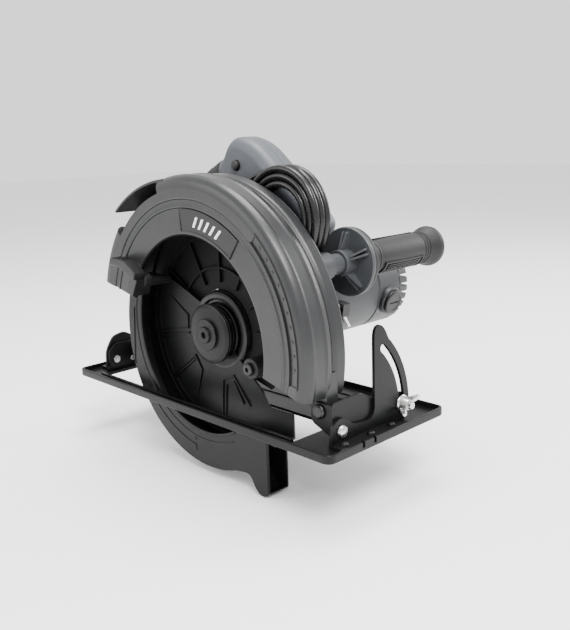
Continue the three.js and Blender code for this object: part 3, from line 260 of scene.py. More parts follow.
def cross_cut(reach, low, high):
    """Cutters for a cross recess in a screw's head."""
    return [block(-reach, reach, low, high, -0.5, 0.5), block(-0.5, 0.5, low, high, -reach, reach)]


def hose(points, radius, sides):
    """A bent bar through points, with the same section all along."""
    shape = bmesh.new()
    path = [Vector(point) for point in points]
    rings = []
    side = (path[1] - path[0]).orthogonal().normalized()
    for index, here in enumerate(path):
        along = (path[min(index + 1, len(path) - 1)] - path[max(index - 1, 0)]).normalized()
        side = (side - along * side.dot(along)).normalized()
        ring = bmesh.ops.create_circle(shape, segments=sides, radius=radius)["verts"]
        frame_turn = Matrix((side, along.cross(side), along)).transposed()
        for corner in ring:
            corner.co = here + frame_turn @ corner.co
        rings.append(ring)
    edges = [[edge for edge in shape.edges if all(corner in set(ring) for corner in edge.verts)]
             for ring in rings]
    for first, second in zip(edges, edges[1:]):
        bmesh.ops.bridge_loops(shape, edges=first + second)
    fill_holes(shape)
    bmesh.ops.recalc_face_normals(shape, faces=shape.faces)
    return shape


def merged(*shapes):
    """Several shapes as one, each kept closed."""
    total = bmesh.new()
    for shape in shapes:
        store = bpy.data.meshes.new("store")
        shape.to_mesh(store)
        total.from_mesh(store)
        bpy.data.meshes.remove(store)
        shape.free()
    return total



def carve(shape, cutters=(), added=()):
    """shape joined with some shapes and then cut by others."""
    store = bpy.data.meshes.new("store")
    shape.to_mesh(store)
    shape.free()
    work = placed("work", store)
    helpers = []
    for kind, group in (("UNION", added), ("DIFFERENCE", cutters)):
        for cutter in group:
            helper_mesh = bpy.data.meshes.new("cutter")
            cutter.to_mesh(helper_mesh)
            cutter.free()
            helper = placed("cutter", helper_mesh)
            step = work.modifiers.new("shape", "BOOLEAN")
            step.operation = kind
            step.solver = "EXACT"
            step.object = helper
            helpers.append(helper)
    graph = bpy.context.evaluated_depsgraph_get()
    result = bmesh.new()
    made = bpy.data.meshes.new_from_object(work.evaluated_get(graph))
    result.from_mesh(made)
    for used in [work, *helpers]:
        data = used.data
        bpy.data.objects.remove(used)
        bpy.data.meshes.remove(data)
    bpy.data.meshes.remove(made)
    bmesh.ops.remove_doubles(result, verts=result.verts, dist=1e-4)
    return result


def piece(name, shape, place, finish, body, replaces=(), smooth=32, edge=0.0, inner=None):
    """Turns a shape into a finished object that rides on a body."""
    if inner:
        test, inner_finish = inner
        shape.faces.ensure_lookup_table()
        for face in shape.faces:
            face.material_index = 1 if test(face) else 0
    bmesh.ops.transform(shape, matrix=place, verts=shape.verts)
    mesh = bpy.data.meshes.new(name)
    shape.to_mesh(mesh)
    shape.free()
    mesh.materials.append(finish)
    if inner:
        mesh.materials.append(inner_finish)
    mesh.shade_smooth()
    mesh.set_sharp_from_angle(angle=math.radians(smooth))
    made = placed(name, mesh)
    if edge:
        rounding = made.modifiers.new("edges", "BEVEL")
        rounding.width = edge * 0.001
        rounding.segments = 2
        rounding.limit_method = "ANGLE"
        rounding.angle_limit = math.radians(40)
        rounding.use_clamp_overlap = True
    evened = made.modifiers.new("normals", "WEIGHTED_NORMAL")
    evened.keep_sharp = True
    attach(made, body)
    if replaces:
        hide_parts(*replaces)
    return made


def refined(node, finish, edge=0.4, name=None, smooth=32, inner=None):
    """A merged copy of a CAD node with rounded edges and a finish."""
    shape = bmesh.new()
    shape.from_mesh(frame["nodes"][node].data)
    bmesh.ops.remove_doubles(shape, verts=shape.verts, dist=1e-6)
    bmesh.ops.dissolve_limit(shape, angle_limit=math.radians(1), verts=shape.verts, edges=shape.edges)
    return piece(name or node + "_finished", shape, Matrix.Identity(4), finish,
                 frame["nodes"][node]["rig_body"],
                 (node,), smooth, edge, inner)


class Nodes:
    """A short way to wire one material."""

    def __init__(self, name, slot):
        self.material = bpy.data.materials.new(name)
        self.material.use_nodes = True
        self.tree = self.material.node_tree
        self.shader = self.tree.nodes["Principled BSDF"]
        self.place = self.tree.nodes.new("ShaderNodeTexCoord").outputs["Object"]

    def noise(self, scale, detail=3, stretch=None):
        source = self.place
        if stretch:
            mapping = self.tree.nodes.new("ShaderNodeMapping")
            mapping.inputs["Scale"].default_value = stretch
            self.tree.links.new(self.place, mapping.inputs["Vector"])
            source = mapping.outputs["Vector"]
        node = self.tree.nodes.new("ShaderNodeTexNoise")
        node.inputs["Scale"].default_value = scale
        node.inputs["Detail"].default_value = detail
        self.tree.links.new(source, node.inputs["Vector"])
        return node.outputs["Fac"]

    def cells(self, scale):
        node = self.tree.nodes.new("ShaderNodeTexVoronoi")
        node.inputs["Scale"].default_value = scale
        self.tree.links.new(self.place, node.inputs["Vector"])
        return node.outputs["Distance"]

    def span(self, value, low, high, to_low, to_high):
        node = self.tree.nodes.new("ShaderNodeMapRange")
        node.inputs["From Min"].default_value = low
        node.inputs["From Max"].default_value = high
        node.inputs["To Min"].default_value = to_low
        node.inputs["To Max"].default_value = to_high
        self.tree.links.new(value, node.inputs["Value"])
        return node.outputs["Result"]

    def blend(self, share, first, second):
        node = self.tree.nodes.new("ShaderNodeMix")
        node.data_type = "RGBA"
        node.inputs["A"].default_value = (*first, 1)
        if isinstance(second, bpy.types.NodeSocket):
            self.tree.links.new(second, node.inputs["B"])
        else:
            node.inputs["B"].default_value = (*second, 1)
        self.tree.links.new(share, node.inputs["Factor"])
        return node.outputs["Result"]

    def relief(self, *layers):
        """Bumps from (height, depth in millimetres, strength)."""
        normal = None
        for height, depth, strength in layers:
            node = self.tree.nodes.new("ShaderNodeBump")
            node.inputs["Distance"].default_value = depth * 0.001
            node.inputs["Strength"].default_value = strength
            self.tree.links.new(height, node.inputs["Height"])
            if normal is not None:
                self.tree.links.new(normal, node.inputs["Normal"])
            normal = node.outputs["Normal"]
        self.tree.links.new(normal, self.shader.inputs["Normal"])

    def wire(self, socket, value):
        if isinstance(value, bpy.types.NodeSocket):
            self.tree.links.new(value, self.shader.inputs[socket])
        else:
            self.shader.inputs[socket].default_value = value


def tone(colour, factor):
    return tuple(min(1.0, channel * factor) for channel in colour)


def sprayed_paint(name, slot, colour, rough, peel=0.5, coat=0.0, shine=0.5):
    """Stoved paint: orange peel, faint dust and fine scuffs."""
    made = Nodes(name, slot)
    clouds = made.noise(45, 4)
    scuffs = made.noise(260, 6, (1, 9, 3))
    made.wire("Base Color", made.blend(made.span(clouds, 0.35, 0.75, 0, 1), tone(colour, 0.9),
                                       tone(colour, 1.16)))
    made.wire("Roughness", made.span(scuffs, 0.45, 0.8, rough, rough + 0.16))
    made.wire("Metallic", 0.0)
    made.wire("Specular IOR Level", shine)
    made.wire("Coat Weight", coat)
    made.wire("Coat Roughness", 0.18)
    made.relief((made.noise(620, 2), 0.06, peel), (made.noise(3200, 2), 0.012, 0.5))
    return made.material


def moulded_plastic(name, slot, colour, rough, grain=0.6):
    """Spark-textured moulded plastic."""
    made = Nodes(name, slot)
    made.wire("Base Color", made.blend(made.span(made.noise(60, 4), 0.3, 0.75, 0, 1), tone(colour, 0.93),
                                       tone(colour, 1.1)))
    made.wire("Roughness", made.span(made.noise(1400, 3), 0.3, 0.7, rough - 0.05, rough + 0.1))
    made.wire("Specular IOR Level", 0.45)
    made.relief((made.noise(2300, 3), 0.045, grain), (made.noise(160, 2), 0.04, 0.2))
    return made.material


def soft_rubber(name, slot, colour, rough, pits=0.7):
    made = Nodes(name, slot)
    made.wire("Base Color", made.blend(made.span(made.noise(90, 5), 0.35, 0.7, 0, 1), tone(colour, 0.85),
                                       tone(colour, 1.35)))
    made.wire("Roughness", made.span(made.noise(900, 4), 0.3, 0.7, rough - 0.08, rough + 0.08))
    made.wire("Specular IOR Level", 0.4)
    made.relief((made.cells(1500), 0.06, pits), (made.noise(3000, 2), 0.02, 0.5))
    return made.material


def plated_metal(name, slot, colour, rough, streak=(1, 1, 1), tint=(1.0, 0.97, 0.9)):
    """Bare or plated metal with fine drawing marks and slight staining."""
    made = Nodes(name, slot)
    stain = made.span(made.noise(120, 5), 0.4, 0.75, 0, 1)
    made.wire("Base Color", made.blend(stain, colour,
                                       tuple(c * t for c, t in zip(tone(colour, 0.82), tint))))
    made.wire("Metallic", 1.0)
    marks = made.noise(500, 4, streak)
    made.wire("Roughness", made.span(marks, 0.3, 0.75, rough - 0.07, rough + 0.13))
    made.relief((marks, 0.02, 0.35))
    return made.material


guard_paint = sprayed_paint("guard_grey", "guard_paint", (0.0135, 0.0138, 0.0145), 0.34, 0.3, 0.0, 0.42)
black_paint = sprayed_paint("stoved_black", "black_paint", (0.0026, 0.0027, 0.0029), 0.38, 0.3, 0.0, 0.2)
# The faces inside the guard and gear housing get a near-black copy of the paint. This is painted shade for the
# shadowed blade space, not a paint of its own.
painted_shade_black = sprayed_paint("inside_painted_shade", "black_paint", (0.0016, 0.0016, 0.0017), 0.6, 0.4, 0.0, 0.15)
# The handle's grey housing plastic is the same plastic as the motor's. It is lightened as painted light for the
# brightly lit top of the handle.
housing = moulded_plastic("housing_grey_painted_light", "housing_plastic", (0.056, 0.061, 0.07), 0.44, 0.5)
pale_housing = moulded_plastic("housing_pale", "housing_plastic", (0.031, 0.033, 0.036), 0.46, 0.5)
alloy = plated_metal("alloy_cast", "cast_alloy", (0.36, 0.37, 0.38), 0.5)
black_plastic = moulded_plastic("trim_black", "black_plastic", (0.0035, 0.0035, 0.0038), 0.44)
grip_rubber = soft_rubber("grip_black", "grip_rubber", (0.0055, 0.0055, 0.006), 0.58)
zinc = plated_metal("zinc_plate", "zinc", (0.62, 0.63, 0.64), 0.27)
dark_steel = plated_metal("black_oxide", "zinc", (0.05, 0.05, 0.052), 0.4)
badge_white = moulded_plastic("badge_white", "zinc", (0.75, 0.75, 0.75), 0.4)
steel = plated_metal("bare_steel", "steel", (0.33, 0.335, 0.34), 0.34, (1, 12, 1))
copper = plated_metal("copper_bars", "copper", (0.6, 0.3, 0.16), 0.36, (1, 10, 1))
cord_sheath = soft_rubber("cord_sheath", "cord_rubber", (0.0032, 0.0032, 0.0034), 0.3, 0.15)


# ---- cord ----
CORD_THICKNESS = 6.6
COIL_X, COIL_Z = 72, 112
COIL_TURNS = 6.5
CROSSING = 0.09  # the share of a turn that one crossing takes, and by which each comes earlier
OUTER_TURN, MIDDLE_TURN, INNER_TURN = 43.3, 36.6, 30.0
NEAR_LAYER, MIDDLE_LAYER, FAR_LAYER = 21.4, 28.2, 35.0


def smooth_line(points, each):
    """Points along a smooth curve through points, about that many between each pair."""
    line = []
    spots = [Vector(point) for point in points]
    for index in range(len(spots) - 1):
        p0 = spots[max(index - 1, 0)]
        p1, p2 = spots[index], spots[index + 1]
        p3 = spots[min(index + 2, len(spots) - 1)]
        for step in range(each):
            t = step / each
            line.append(0.5 * (2 * p1 + (p2 - p0) * t + (2 * p0 - 5 * p1 + 4 * p2 - p3) * t ** 2
                               + (3 * p1 - p0 - 3 * p2 + p3) * t ** 3))
    line.append(spots[-1])
    return line


def coil_turns():
    """Six and a half turns in three layers, each crossing over a little before the one inside it."""
    slots = [(OUTER_TURN, NEAR_LAYER), (MIDDLE_TURN, NEAR_LAYER), (INNER_TURN, NEAR_LAYER),
             (INNER_TURN, MIDDLE_LAYER), (MIDDLE_TURN, MIDDLE_LAYER), (OUTER_TURN, MIDDLE_LAYER),
             (OUTER_TURN, FAR_LAYER)]
    points = []
    per_turn = 40
    for step in range(int(COIL_TURNS * per_turn) + 1):
        turns = step / per_turn
        index = int(turns)
        share = turns - index
        begin = 0.86 - CROSSING * index
        crossing = min(1, max(0, (share - begin) / CROSSING))
        crossing = crossing * crossing * (3 - 2 * crossing)
        here, after = slots[index], slots[min(index + 1, 6)]
        radius = here[0] + (after[0] - here[0]) * crossing
        layer = here[1] + (after[1] - here[1]) * crossing
        across, up = polar(radius, -90 + 360 * turns)
        points.append((COIL_X + across, layer, COIL_Z + up))
    return points


LEAD = [(-150.9, 60.3, 81.9), (-158.5, 60.3, 79.1), (-168, 59.8, 74.6), (-180, 57, 67), (-188, 50, 57),
        (-190, 41, 44), (-181, 32.5, 32), (-166, 28.6, 25), (-146, 28, 22.6), (-118, 28, 25), (-88, 28,
                                                                                               29.8),
        (-58, 26.5, 35), (-34, 23.5, 42), (-14, 21.8, 52), (2, 21.8, 65.2), (18, 21.8, 73.4), (36, 21.6,
                                                                                               74.4),
        (52, 21.4, 71)]
TAIL = [(54, 34.8, 153.6), (36, 33.8, 149.5), (19, 33, 142), (8, 33, 133), (4.2, 33, 127), (4, 33, 122.4)]


def make_cord():
    turns = coil_turns()
    route = smooth_line(LEAD, 4) + [Vector(point) for point in turns] + smooth_line(TAIL, 4)
    route = [AT_ARBOR @ point for point in route]
    length = sum((b - a).length for a, b in zip(route, route[1:]))
    line = bpy.data.curves.new("mains_cord", "CURVE")
    line.dimensions = "3D"
    line.bevel_depth = CORD_THICKNESS / 2000
    line.bevel_resolution = 6
    line.use_fill_caps = True
    spline = line.splines.new("POLY")
    spline.points.add(len(route) - 1)
    for spot, point in zip(spline.points, route):
        spot.co = (*point, 1)
    spline.use_smooth = True
    cord = placed("mains_cord", line)
    line.materials.append(cord_sheath)
    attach(cord, "saw_body")
    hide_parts("cord_lead", "cord_coil", "cord_tail")
    return cord, route, length


PLUG_PLACE = (4, 33, 122.2)


def make_plug():
    body = plate(soften([(-4.5, 0, 1), (4.5, 0, 1), (6, -12, 4), (13.5, -19, 6), (13.5, -39, 2.5),
                         (-13.5, -39, 2.5),
                         (-13.5, -19, 6), (-6, -12, 4)]), -8, 8, edge=2.2, segments=3)
    grips = [block(-12.4, 12.4, side - 0.6, side + 0.6, z - 0.8, z + 0.8, 0.3) for side in (-7.9, 7.9)
             for z in (-24, -27.5, -31)]
    handle = piece("plug_body", move(merged(body, *grips), *PLUG_PLACE), AT_ARBOR, cord_sheath, "saw_body",
                   ("plug",))
    pins = merged(*[block(x - 0.75, x + 0.75, -3.2, 3.2, -55, -38.5, 0.3) for x in (-6.35, 6.35)])
    blades = piece("plug_pins", move(pins, *PLUG_PLACE), AT_ARBOR, zinc, "saw_body")
    return [handle, blades]


GLAND_X, GLAND_Z = -141, 60
GLAND_SLOPE = -20 - REST_TILT
HANDLE_MIDDLE = 60.3


def make_strain_relief():
    """A tapered sleeve with ring grooves."""
    profile = [(3.45, -12), (6.7, -12), (6.7, 1)]
    for ridge in range(6):
        start = 2 + ridge * 4.6
        outer = 6.3 - ridge * 0.28
        profile += [(outer, start), (outer, start + 2.6), (outer - 1.1, start + 3),
                    (outer - 1.1, start + 4.2)]
    profile += [(4.75, 29.4), (4.5, 30), (3.45, 30)]
    sleeve = lathe(profile, 40, closed=True)
    turn(sleeve, 90, "Z")
    turn(sleeve, GLAND_SLOPE, "Y")
    move(sleeve, GLAND_X, HANDLE_MIDDLE, GLAND_Z)
    return piece("strain_relief_sleeve", sleeve, TILTED, cord_sheath, "saw_body", ("cord_strain_relief",))


mains_cord, cord_route, cord_length = make_cord()
plug_pieces = make_plug()
relief = make_strain_relief()


# ---- upper guard ----
GUARD_RIM = 152.5
HOOD_FROM, HOOD_TO, HOOD_RISE = 117, 150, 12.5
GUARD_PROFILE = [
    (97, -26.8, 0.5), (97, -29.4, 1), (98.8, -30.0, 1), (121.6, -30.5, 1), (123, -31.3, 0.5), (124.4, -31.3,
                                                                                               0.5),
    (125.8, -30.3, 0.8), (130, -30.6, 0.6), (131.2, -31.6, 0.6), (141.4, -32.6, 1.6), (146.6, -31.9,
                                                                                       2.2), (150.6, -28.8,
                                                                                              2.6),
    (152.3, -24.6, 2.2), (152.5, -22.6, 0.8), (151.3, -20.6, 1.2), (151.6, -9.6, 1.6), (152.5, -7, 0.8),
    (151.4, -1.5, 2), (148, 2.6, 1.2), (147.4, 4.2, 1), (149.8, 6.8, 1.4), (151, 15.4, 1), (150.2, 17, 0.6),
    (148.3, 17, 0.6), (148, 12.6, 0.5), (41, 12, 0.4), (41, 9, 0.4), (145, 9, 2), (147.3, -1, 2), (149, -8,
                                                                                                   2),
    (149, -23.4, 2), (147, -27, 2), (141, -29.2, 2), (125, -27.6, 1), (99, -26.9, 0.6)]


def hood_line(offset, start, end, steps=40):
    points = []
    for step in range(steps + 1):
        angle = start + (end - start) * step / steps
        radius = GUARD_RIM - 1 + HOOD_RISE * (angle - HOOD_FROM) / (HOOD_TO - HOOD_FROM) - offset
        points.append(polar(radius, angle))
    return points


def hood_sector(inner, offset, start, end):
    return hood_line(offset, start, end) + arc(inner, end, start, 40)


def inside_guard(face):
    """Faces that look into the blade space, which take the near-black painted shade."""
    middle = face.calc_center_median()
    radius = math.hypot(middle.x, middle.z)
    if radius < 1:
        return False
    outward = (face.normal.x * middle.x + face.normal.z * middle.z) / radius
    if -31 < middle.y < 9.2 and radius < 149.2 and (outward < -0.25 or face.normal.y > 0.6):
        return True
    angle = math.degrees(math.atan2(middle.z, middle.x))
    if HOOD_FROM + 1 < angle < HOOD_TO + 3 and radius > 139 and -30 < middle.y < 0 and (outward < 0.2
                                                                                        or middle.y > -1):
        return radius < GUARD_RIM + 12 and face.normal.y < 0.5
    return face.normal.y < -0.6 and 5 < middle.y < 10 and radius < 146


def make_upper_guard():
    shell = lathe(soften(GUARD_PROFILE, 4), 240, closed=True)
    cut_away(shell, (0, 0, 4), (0, 0, -1))
    bmesh.ops.recalc_face_normals(shell, faces=shell.faces)
    hood = plate(hood_sector(146, 0, HOOD_FROM, HOOD_TO), -30, 2.2, edge=0.8)
    chute = plate(hood_sector(139.5, 2.4, HOOD_FROM + 3, HOOD_TO + 4), -45, -0.4)
    hub_plate = plate(arc(80, -22, 202, 60), 9, 12)
    tilt = math.radians(REST_TILT)
    pivot = (DEPTH_PLACE.x * 1000, DEPTH_PLACE.z * 1000 - 75)
    px, pz = (pivot[0] * math.cos(tilt) - pivot[1] * math.sin(tilt),
              pivot[0] * math.sin(tilt) + pivot[1] * math.cos(tilt))
    pin_hole = move(rod(4.3, -20, 20), px, 0, pz)
    lug = plate(soften([(px - 9.5, pz - 9.5, 9.5), (px - 9.5, 24, 4), (147.5, 24), (154, 3, 3),
                        (px + 9.5, pz - 9.5, 9.5)]), -7.5, 7.5, edge=1.2)
    band_panel = lathe([(132.6, -45), (141.6, -45), (141.6, -32), (132.6, -31.1)], 80, 6, 61, closed=True)
    boss_hole = rod(40.7, -5, 20)
    guard = carve(shell, [chute, band_panel, pin_hole, boss_hole], [hood, lug, hub_plate])
    # Faces that look into the blade space take the near-black painted shade.
    piece("upper_guard_shell", guard, TILTED, guard_paint, "saw_body", ("upper_guard",),
          inner=(inside_guard, painted_shade_black),
          smooth=30, edge=0.45)
    ribs = [turn(block(48, 94, 5.6, 9.3, -1.1, 1.1, 0.5), -angle, "Y") for angle in (20, 48, 76, 104, 132,
                                                                                     160)]
    hoops = [ring(r - 1, r + 1, 6.2, 9.3, 90, 8, 172) for r in (62, 94, 122)]
    # The ribs inside the guard take the near-black painted shade.
    piece("guard_inner_ribs", merged(*ribs, *hoops), TILTED, painted_shade_black, "saw_body")
    panel_rim = merged(*[ring(r - 0.4, r + 0.4, y - 0.5, y + 1.2, 80, 5.4, 61.6)
                         for r, y in ((132.1, -32.3), (142.1, -33.1))])
    piece("guard_band_edges", panel_rim, TILTED, guard_paint, "saw_body")
    studs = []
    for angle in range(12, 58, 5):
        stud = turn(lathe([(0, 0), (1.7, 0), (1.5, 0.7), (0.8, 1.0), (0, 1.05)], 20), 180, "X")
        studs.append(turn(move(stud, 137, -31.3, 0), -angle, "Y"))
    piece("guard_band_studs", merged(*studs), TILTED, guard_paint, "saw_body")


make_upper_guard()


def make_badge():
    """A plain plate with a raised border and a row of slanting bars."""
    def skin(radius):
        return -30.6 + 0.6 * (124 - radius) / 24 - 0.25

    def band(low, high, rise, start, end):
        return lathe([(low, skin(low) - rise), (high, skin(high) - rise), (high, skin(high) + 0.2),
                      (low, skin(low) + 0.2)], 80,
                     start, end, closed=True)

    base = band(100.5, 121.8, 0.5, 67, 108)
    borders = [band(100.5, 101.5, 0.9, 67, 108), band(120.8, 121.8, 0.9, 67, 108)]
    ends = [turn(block(100.5, 121.8, skin(111) - 0.95, skin(111), -0.5, 0.5, 0.15), -angle,
                 "Y") for angle in (67.4, 107.6)]
    piece("badge_plate", merged(base, *borders, *ends), TILTED, black_plastic, "saw_body", ("guard_badge",),
          smooth=25)
    bars = []
    for index in range(5):
        bar = plate(soften([(-3.4, -5, 0.5), (-0.8, -5, 0.5), (3.2, 5, 0.5), (0.6, 5, 0.5)]), -0.5, 0.5,
                    edge=0.15)
        move(bar, 0, skin(111) - 0.7, 111)
        bars.append(turn(bar, 2.5 + (index - 2) * 4.2, "Y"))
    piece("badge_mark", merged(*bars), TILTED, badge_white, "saw_body")


make_badge()


def make_stop():
    bumper = lathe([(3.3, -8), (9.2, -8), (10, -7.2), (10, 7.9), (9.2, 8.7), (3.3, 8.7)], 48, closed=True)
    piece("stop_bumper", move(bumper, 59.4, 0, -11), TILTED, grip_rubber, "saw_body",
          ("guard_stop_bumper",))
    screw = carve(lathe([(0, -12), (5.2, -12), (6, -11.2), (6, -8.3), (3, -8.3), (3, 16), (0, 16)], 48),
                  [rod(2.5, -13, -10.2, steps=6)])
    piece("stop_screw", move(screw, 59.4, 0, -11), TILTED, dark_steel, "saw_body", ("guard_stop_screw",))


make_stop()

# ---- lower guard ----
LOWER_RIM = 122.5
LOWER_CENTRE = (2, -9)


def nose_corners(grow):
    return [(89, -84), (89, -136 + grow, 4), (79 + grow, -140 + grow, 5), (71 + grow, -134 + grow, 5),
            (64 + grow, -121 + grow, 9)]


# Pressed lines on the far plate, as (x, z) about the arbor.
LOWER_BEADS = [
    [(-93, -14), (-48.2, -3.4), (-47, 9.8), (-74, 26)],
    [(-92, -18.5), (-46.9, -8.3)],
    [(-78, -58), (-38.3, -30.2), (-28.9, -43.8), (-41.1, -79.9)],
    [(-75, -60), (-38.7, -34.2)],
    [(0.6, -86), (3.9, -47.4), (19.8, -40.9), (42, -66)],
    [(5.2, -86), (8.6, -50.9), (20.2, -46.8), (33, -66)]]


def make_lower_guard():
    rim = arc(LOWER_RIM, -70, -208, 90, LOWER_CENTRE)
    rim_inside = arc(LOWER_RIM - 2.5, -70, -214, 90, LOWER_CENTRE)
    body = plate(soften([(28, -22, 3), (62, -50, 6), (68, -61, 3), (100, -61, 3), (100, -86, 2),
                         *nose_corners(0), *rim,
                         (-70, 44, 6), (-22, 24, 4)]), -22, 4.5, edge=1.3, segments=3)
    inside = plate(soften([(200, 120), (200, -60), (89.5, -84), (89.5, -137.5), *nose_corners(2.5)[1:],
                           *rim_inside, (-120, 120)]),
                   -19.5, 2)
    near_opening = rod(95.4, -23, -18.5, steps=160)
    near_trim = plate([(-10, 140), (-10, -20), (40, -80), (47, -83), (140, -83), (140, 140)], -23, 2)
    hub = rod(27, 2, 6.7, 0.8, steps=96)
    bore = rod(21.9, -30, 30, steps=96)
    arrow_cut = plate(arc_slot(112, 4.6, -131, -97), -23, -21.5)
    head_cut = plate([(-15, -119.5), (-15, -104.5), (1, -112)], -23, -21.5)
    slot_cut = plate(soften([(-108.5, 14, 2.4), (-103.6, 16, 2.4), (-109.2, -48, 2.4), (-113.9, -46, 2.4)]),
                     -23, -21.3)
    guard = carve(body, [inside, near_opening, near_trim, bore, arrow_cut, head_cut, slot_cut], [hub])
    piece("lower_guard_shell", guard, AT_ARBOR, black_paint, "lower_guard", ("lower_guard",), smooth=30,
          edge=0.4)
    raised = []
    for line in LOWER_BEADS:
        for (x0, z0), (x1, z1) in zip(line, line[1:]):
            length = math.hypot(x1 - x0, z1 - z0)
            bead = block(-0.9, length + 0.9, 0.5, 2.2, -0.9, 0.9, 0.5)
            raised.append(move(turn(bead, -math.degrees(math.atan2(z1 - z0, x1 - x0)), "Y"), x0, 0, z0))
    for radius, low, high in ((96, -196, -64), (104, -196, -66)):
        raised.append(ring(radius - 1.2, radius + 1.2, 0.8, 2.2, 90, low, high))
    piece("lower_guard_ribs", merged(*raised), AT_ARBOR, black_paint, "lower_guard")
    lip = lathe([(95.2, -22.3), (97.4, -22.7), (98.2, -21.8), (95.2, -21)], 120, -205, -62, closed=True)
    bead = lathe([(103.4, -22.2), (104.4, -22.7), (105.4, -22.2), (104.4, -21.6)], 120, -196, -66,
                 closed=True)
    piece("lower_guard_beads", merged(lip, bead), AT_ARBOR, black_paint, "lower_guard")


make_lower_guard()


def make_lever():
    foot = plate(soften([(-106, 30, 3), (-88, 30, 3), (-72, 48, 3), (-96, 58, 3)]), -24.8, -22.3, edge=0.6)
    post = plate(soften([(-86, 36, 2), (-76, 32, 2), (-66, 50, 2), (-78, 56, 2)]), -44, -23.3, edge=1)
    bar = move(rod(5, -24, 1.7, 0.6), -77, 0, 45)
    blade = plate(soften([(-108, 63, 2), (-90, 61.5, 3), (-66, 50, 3), (-63, 57, 3), (-84, 69, 4),
                          (-106, 69, 2)]), -48, -34,
                  edge=1.4, segments=3)
    ribs = [move(block(-0.9, 0.9, -47, -35, -1.2, 1.2, 0.5), -103 + 5.5 * index, 0,
                 68.6) for index in range(4)]
    collar = move(lathe([(5, -26), (7.4, -26), (7.4, -33), (6.8, -34), (5, -34)], 40, closed=True), -73, 0,
                  48)
    piece("lever_body", merged(foot, post, bar, blade, *ribs), AT_ARBOR, black_plastic, "lower_guard",
          ("guard_lever",))
    piece("lever_collar", collar, AT_ARBOR, black_plastic, "lower_guard")
    rivets = [move(lathe([(0, -26.6), (2, -26.4), (3.2, -25.4), (3.4, -24.6), (0, -24.6)], 28), x, 0, z)
              for x, z in ((-97, 36), (-90, 50))]
    piece("lever_rivets", merged(*rivets), AT_ARBOR, dark_steel, "lower_guard")


make_lever()

# ---- shoe, brackets and their fasteners ----
BEVEL_Y, BEVEL_Z = sole_mm(BEVEL_PLACE)[1:]
QUADRANT_X = 160
QUADRANT_SLOT = 82


def curve(start, bend, end, steps=12):
    points = []
    for step in range(steps + 1):
        t = step / steps
        points.append(tuple(a * (1 - t) ** 2 + 2 * b * t * (1 - t) + c * t * t for a, b,
                            c in zip(start, bend, end)))
    return points


def make_shoe():
    outer = soften([(-206, -38, 9), (180, -38, 9), (180, 122, 9), (-206, 122, 9)], 10)
    inner = soften([(-203.5, -35.5, 6.5), (177.5, -35.5, 6.5), (177.5, 119.5, 6.5), (-203.5, 119.5, 6.5)],
                   10)
    tray = plate(outer, 0, 8, "XY", 1.1, 3)
    hollow = plate(inner, 3, 12, "XY")
    rail = block(-176, 126, -28.2, -24, 1, 6, 0.5)
    opening = plate(soften([(-176, -25, 4), (126, -25, 4), (126, 29, 4), (-176, 29, 4)]), -2, 12, "XY")
    notches = [block(176, 182, y - 1.5, y + 1.5, 3, 12) for y in (5, 20)]
    beads = [block(-170, 118, y - 3, y + 3, 2.4, 4.1, 0.8) for y in (58, 100)]
    shoe = carve(carve(tray, [hollow]), [opening, *notches], [rail, *beads])
    piece("shoe_plate", shoe, ON_SOLE, black_paint, "base", ("base_plate",), smooth=30, edge=0.5)


make_shoe()


def make_quadrant():
    line = [(-17, 3.3), *arc(11, 176, 52, 24, (BEVEL_Y, BEVEL_Z)), *curve((10, 19), (18, 16), (30, 16)),
            *curve((31, 16), (40, 16), (40, 28)), *curve((40, 86), (40, 98), (47.5, 97.6)),
            *curve((48, 97.5), (54, 96), (59.2, 83.8)), *arc(92.7, 46.5, -4, 60, (BEVEL_Y, BEVEL_Z)), (82,
                                                                                                       3.3)]
    sheet = plate(line, QUADRANT_X, QUADRANT_X + 3, "YZ")
    foot = block(QUADRANT_X, QUADRANT_X + 15, -17, 64, 3.3, 6.3)
    slot = plate(arc_slot(QUADRANT_SLOT, 7.4, 2, 47, (BEVEL_Y, BEVEL_Z)), QUADRANT_X - 2, QUADRANT_X + 5,
                 "YZ")
    hole = move(turn(rod(4.3, -10, 10), 90, "Z"), QUADRANT_X, BEVEL_Y, BEVEL_Z)
    quadrant = carve(sheet, [slot, hole], [foot])
    piece("bevel_quadrant", quadrant, ON_SOLE, black_paint, "base", ("front_bevel_quadrant",), smooth=30,
          edge=0.6)
    rivets = []
    for y in (-8, 26, 54):
        rivet = lathe([(0, 9.2), (2, 9), (3.4, 7.9), (3.8, 6.4), (0, 6.4)], 32)
        rivets.append(move(turn(rivet, 90, "X"), 170, y, 0))
    piece("quadrant_rivets", merged(*rivets), ON_SOLE, black_paint, "base")


make_quadrant()


def dome_along_x(x, y, z, out, radius, height):
    """A domed head whose flat side lies at x and which points towards out."""
    head = lathe([(0, 0), (radius, 0), (radius, height * 0.3), (radius * 0.86, height * 0.72),
                  (radius * 0.5, height * 0.95),
                  (0, height)], 48)
    return move(turn(head, -90 * out, "Z"), x, y, z)


def make_bevel_fasteners():
    front, rear = QUADRANT_X + 3.3, -186.5
    for end, flat, out, radius, low, high in (("front", front, 1, 5.4, 154.5, front + 0.5),
                                              ("rear", rear - 0.3, -1, 7, rear - 0.8, rear + 8)):
        head = dome_along_x(flat, BEVEL_Y, BEVEL_Z, out, radius, 4)
        shank = move(turn(rod(4, low, high), -90, "Z"), 0, BEVEL_Y, BEVEL_Z)
        piece(f"{end}_bevel_rivet", merged(head, shank), ON_SOLE, zinc, "base", (f"{end}_bevel_pin",))


make_bevel_fasteners()



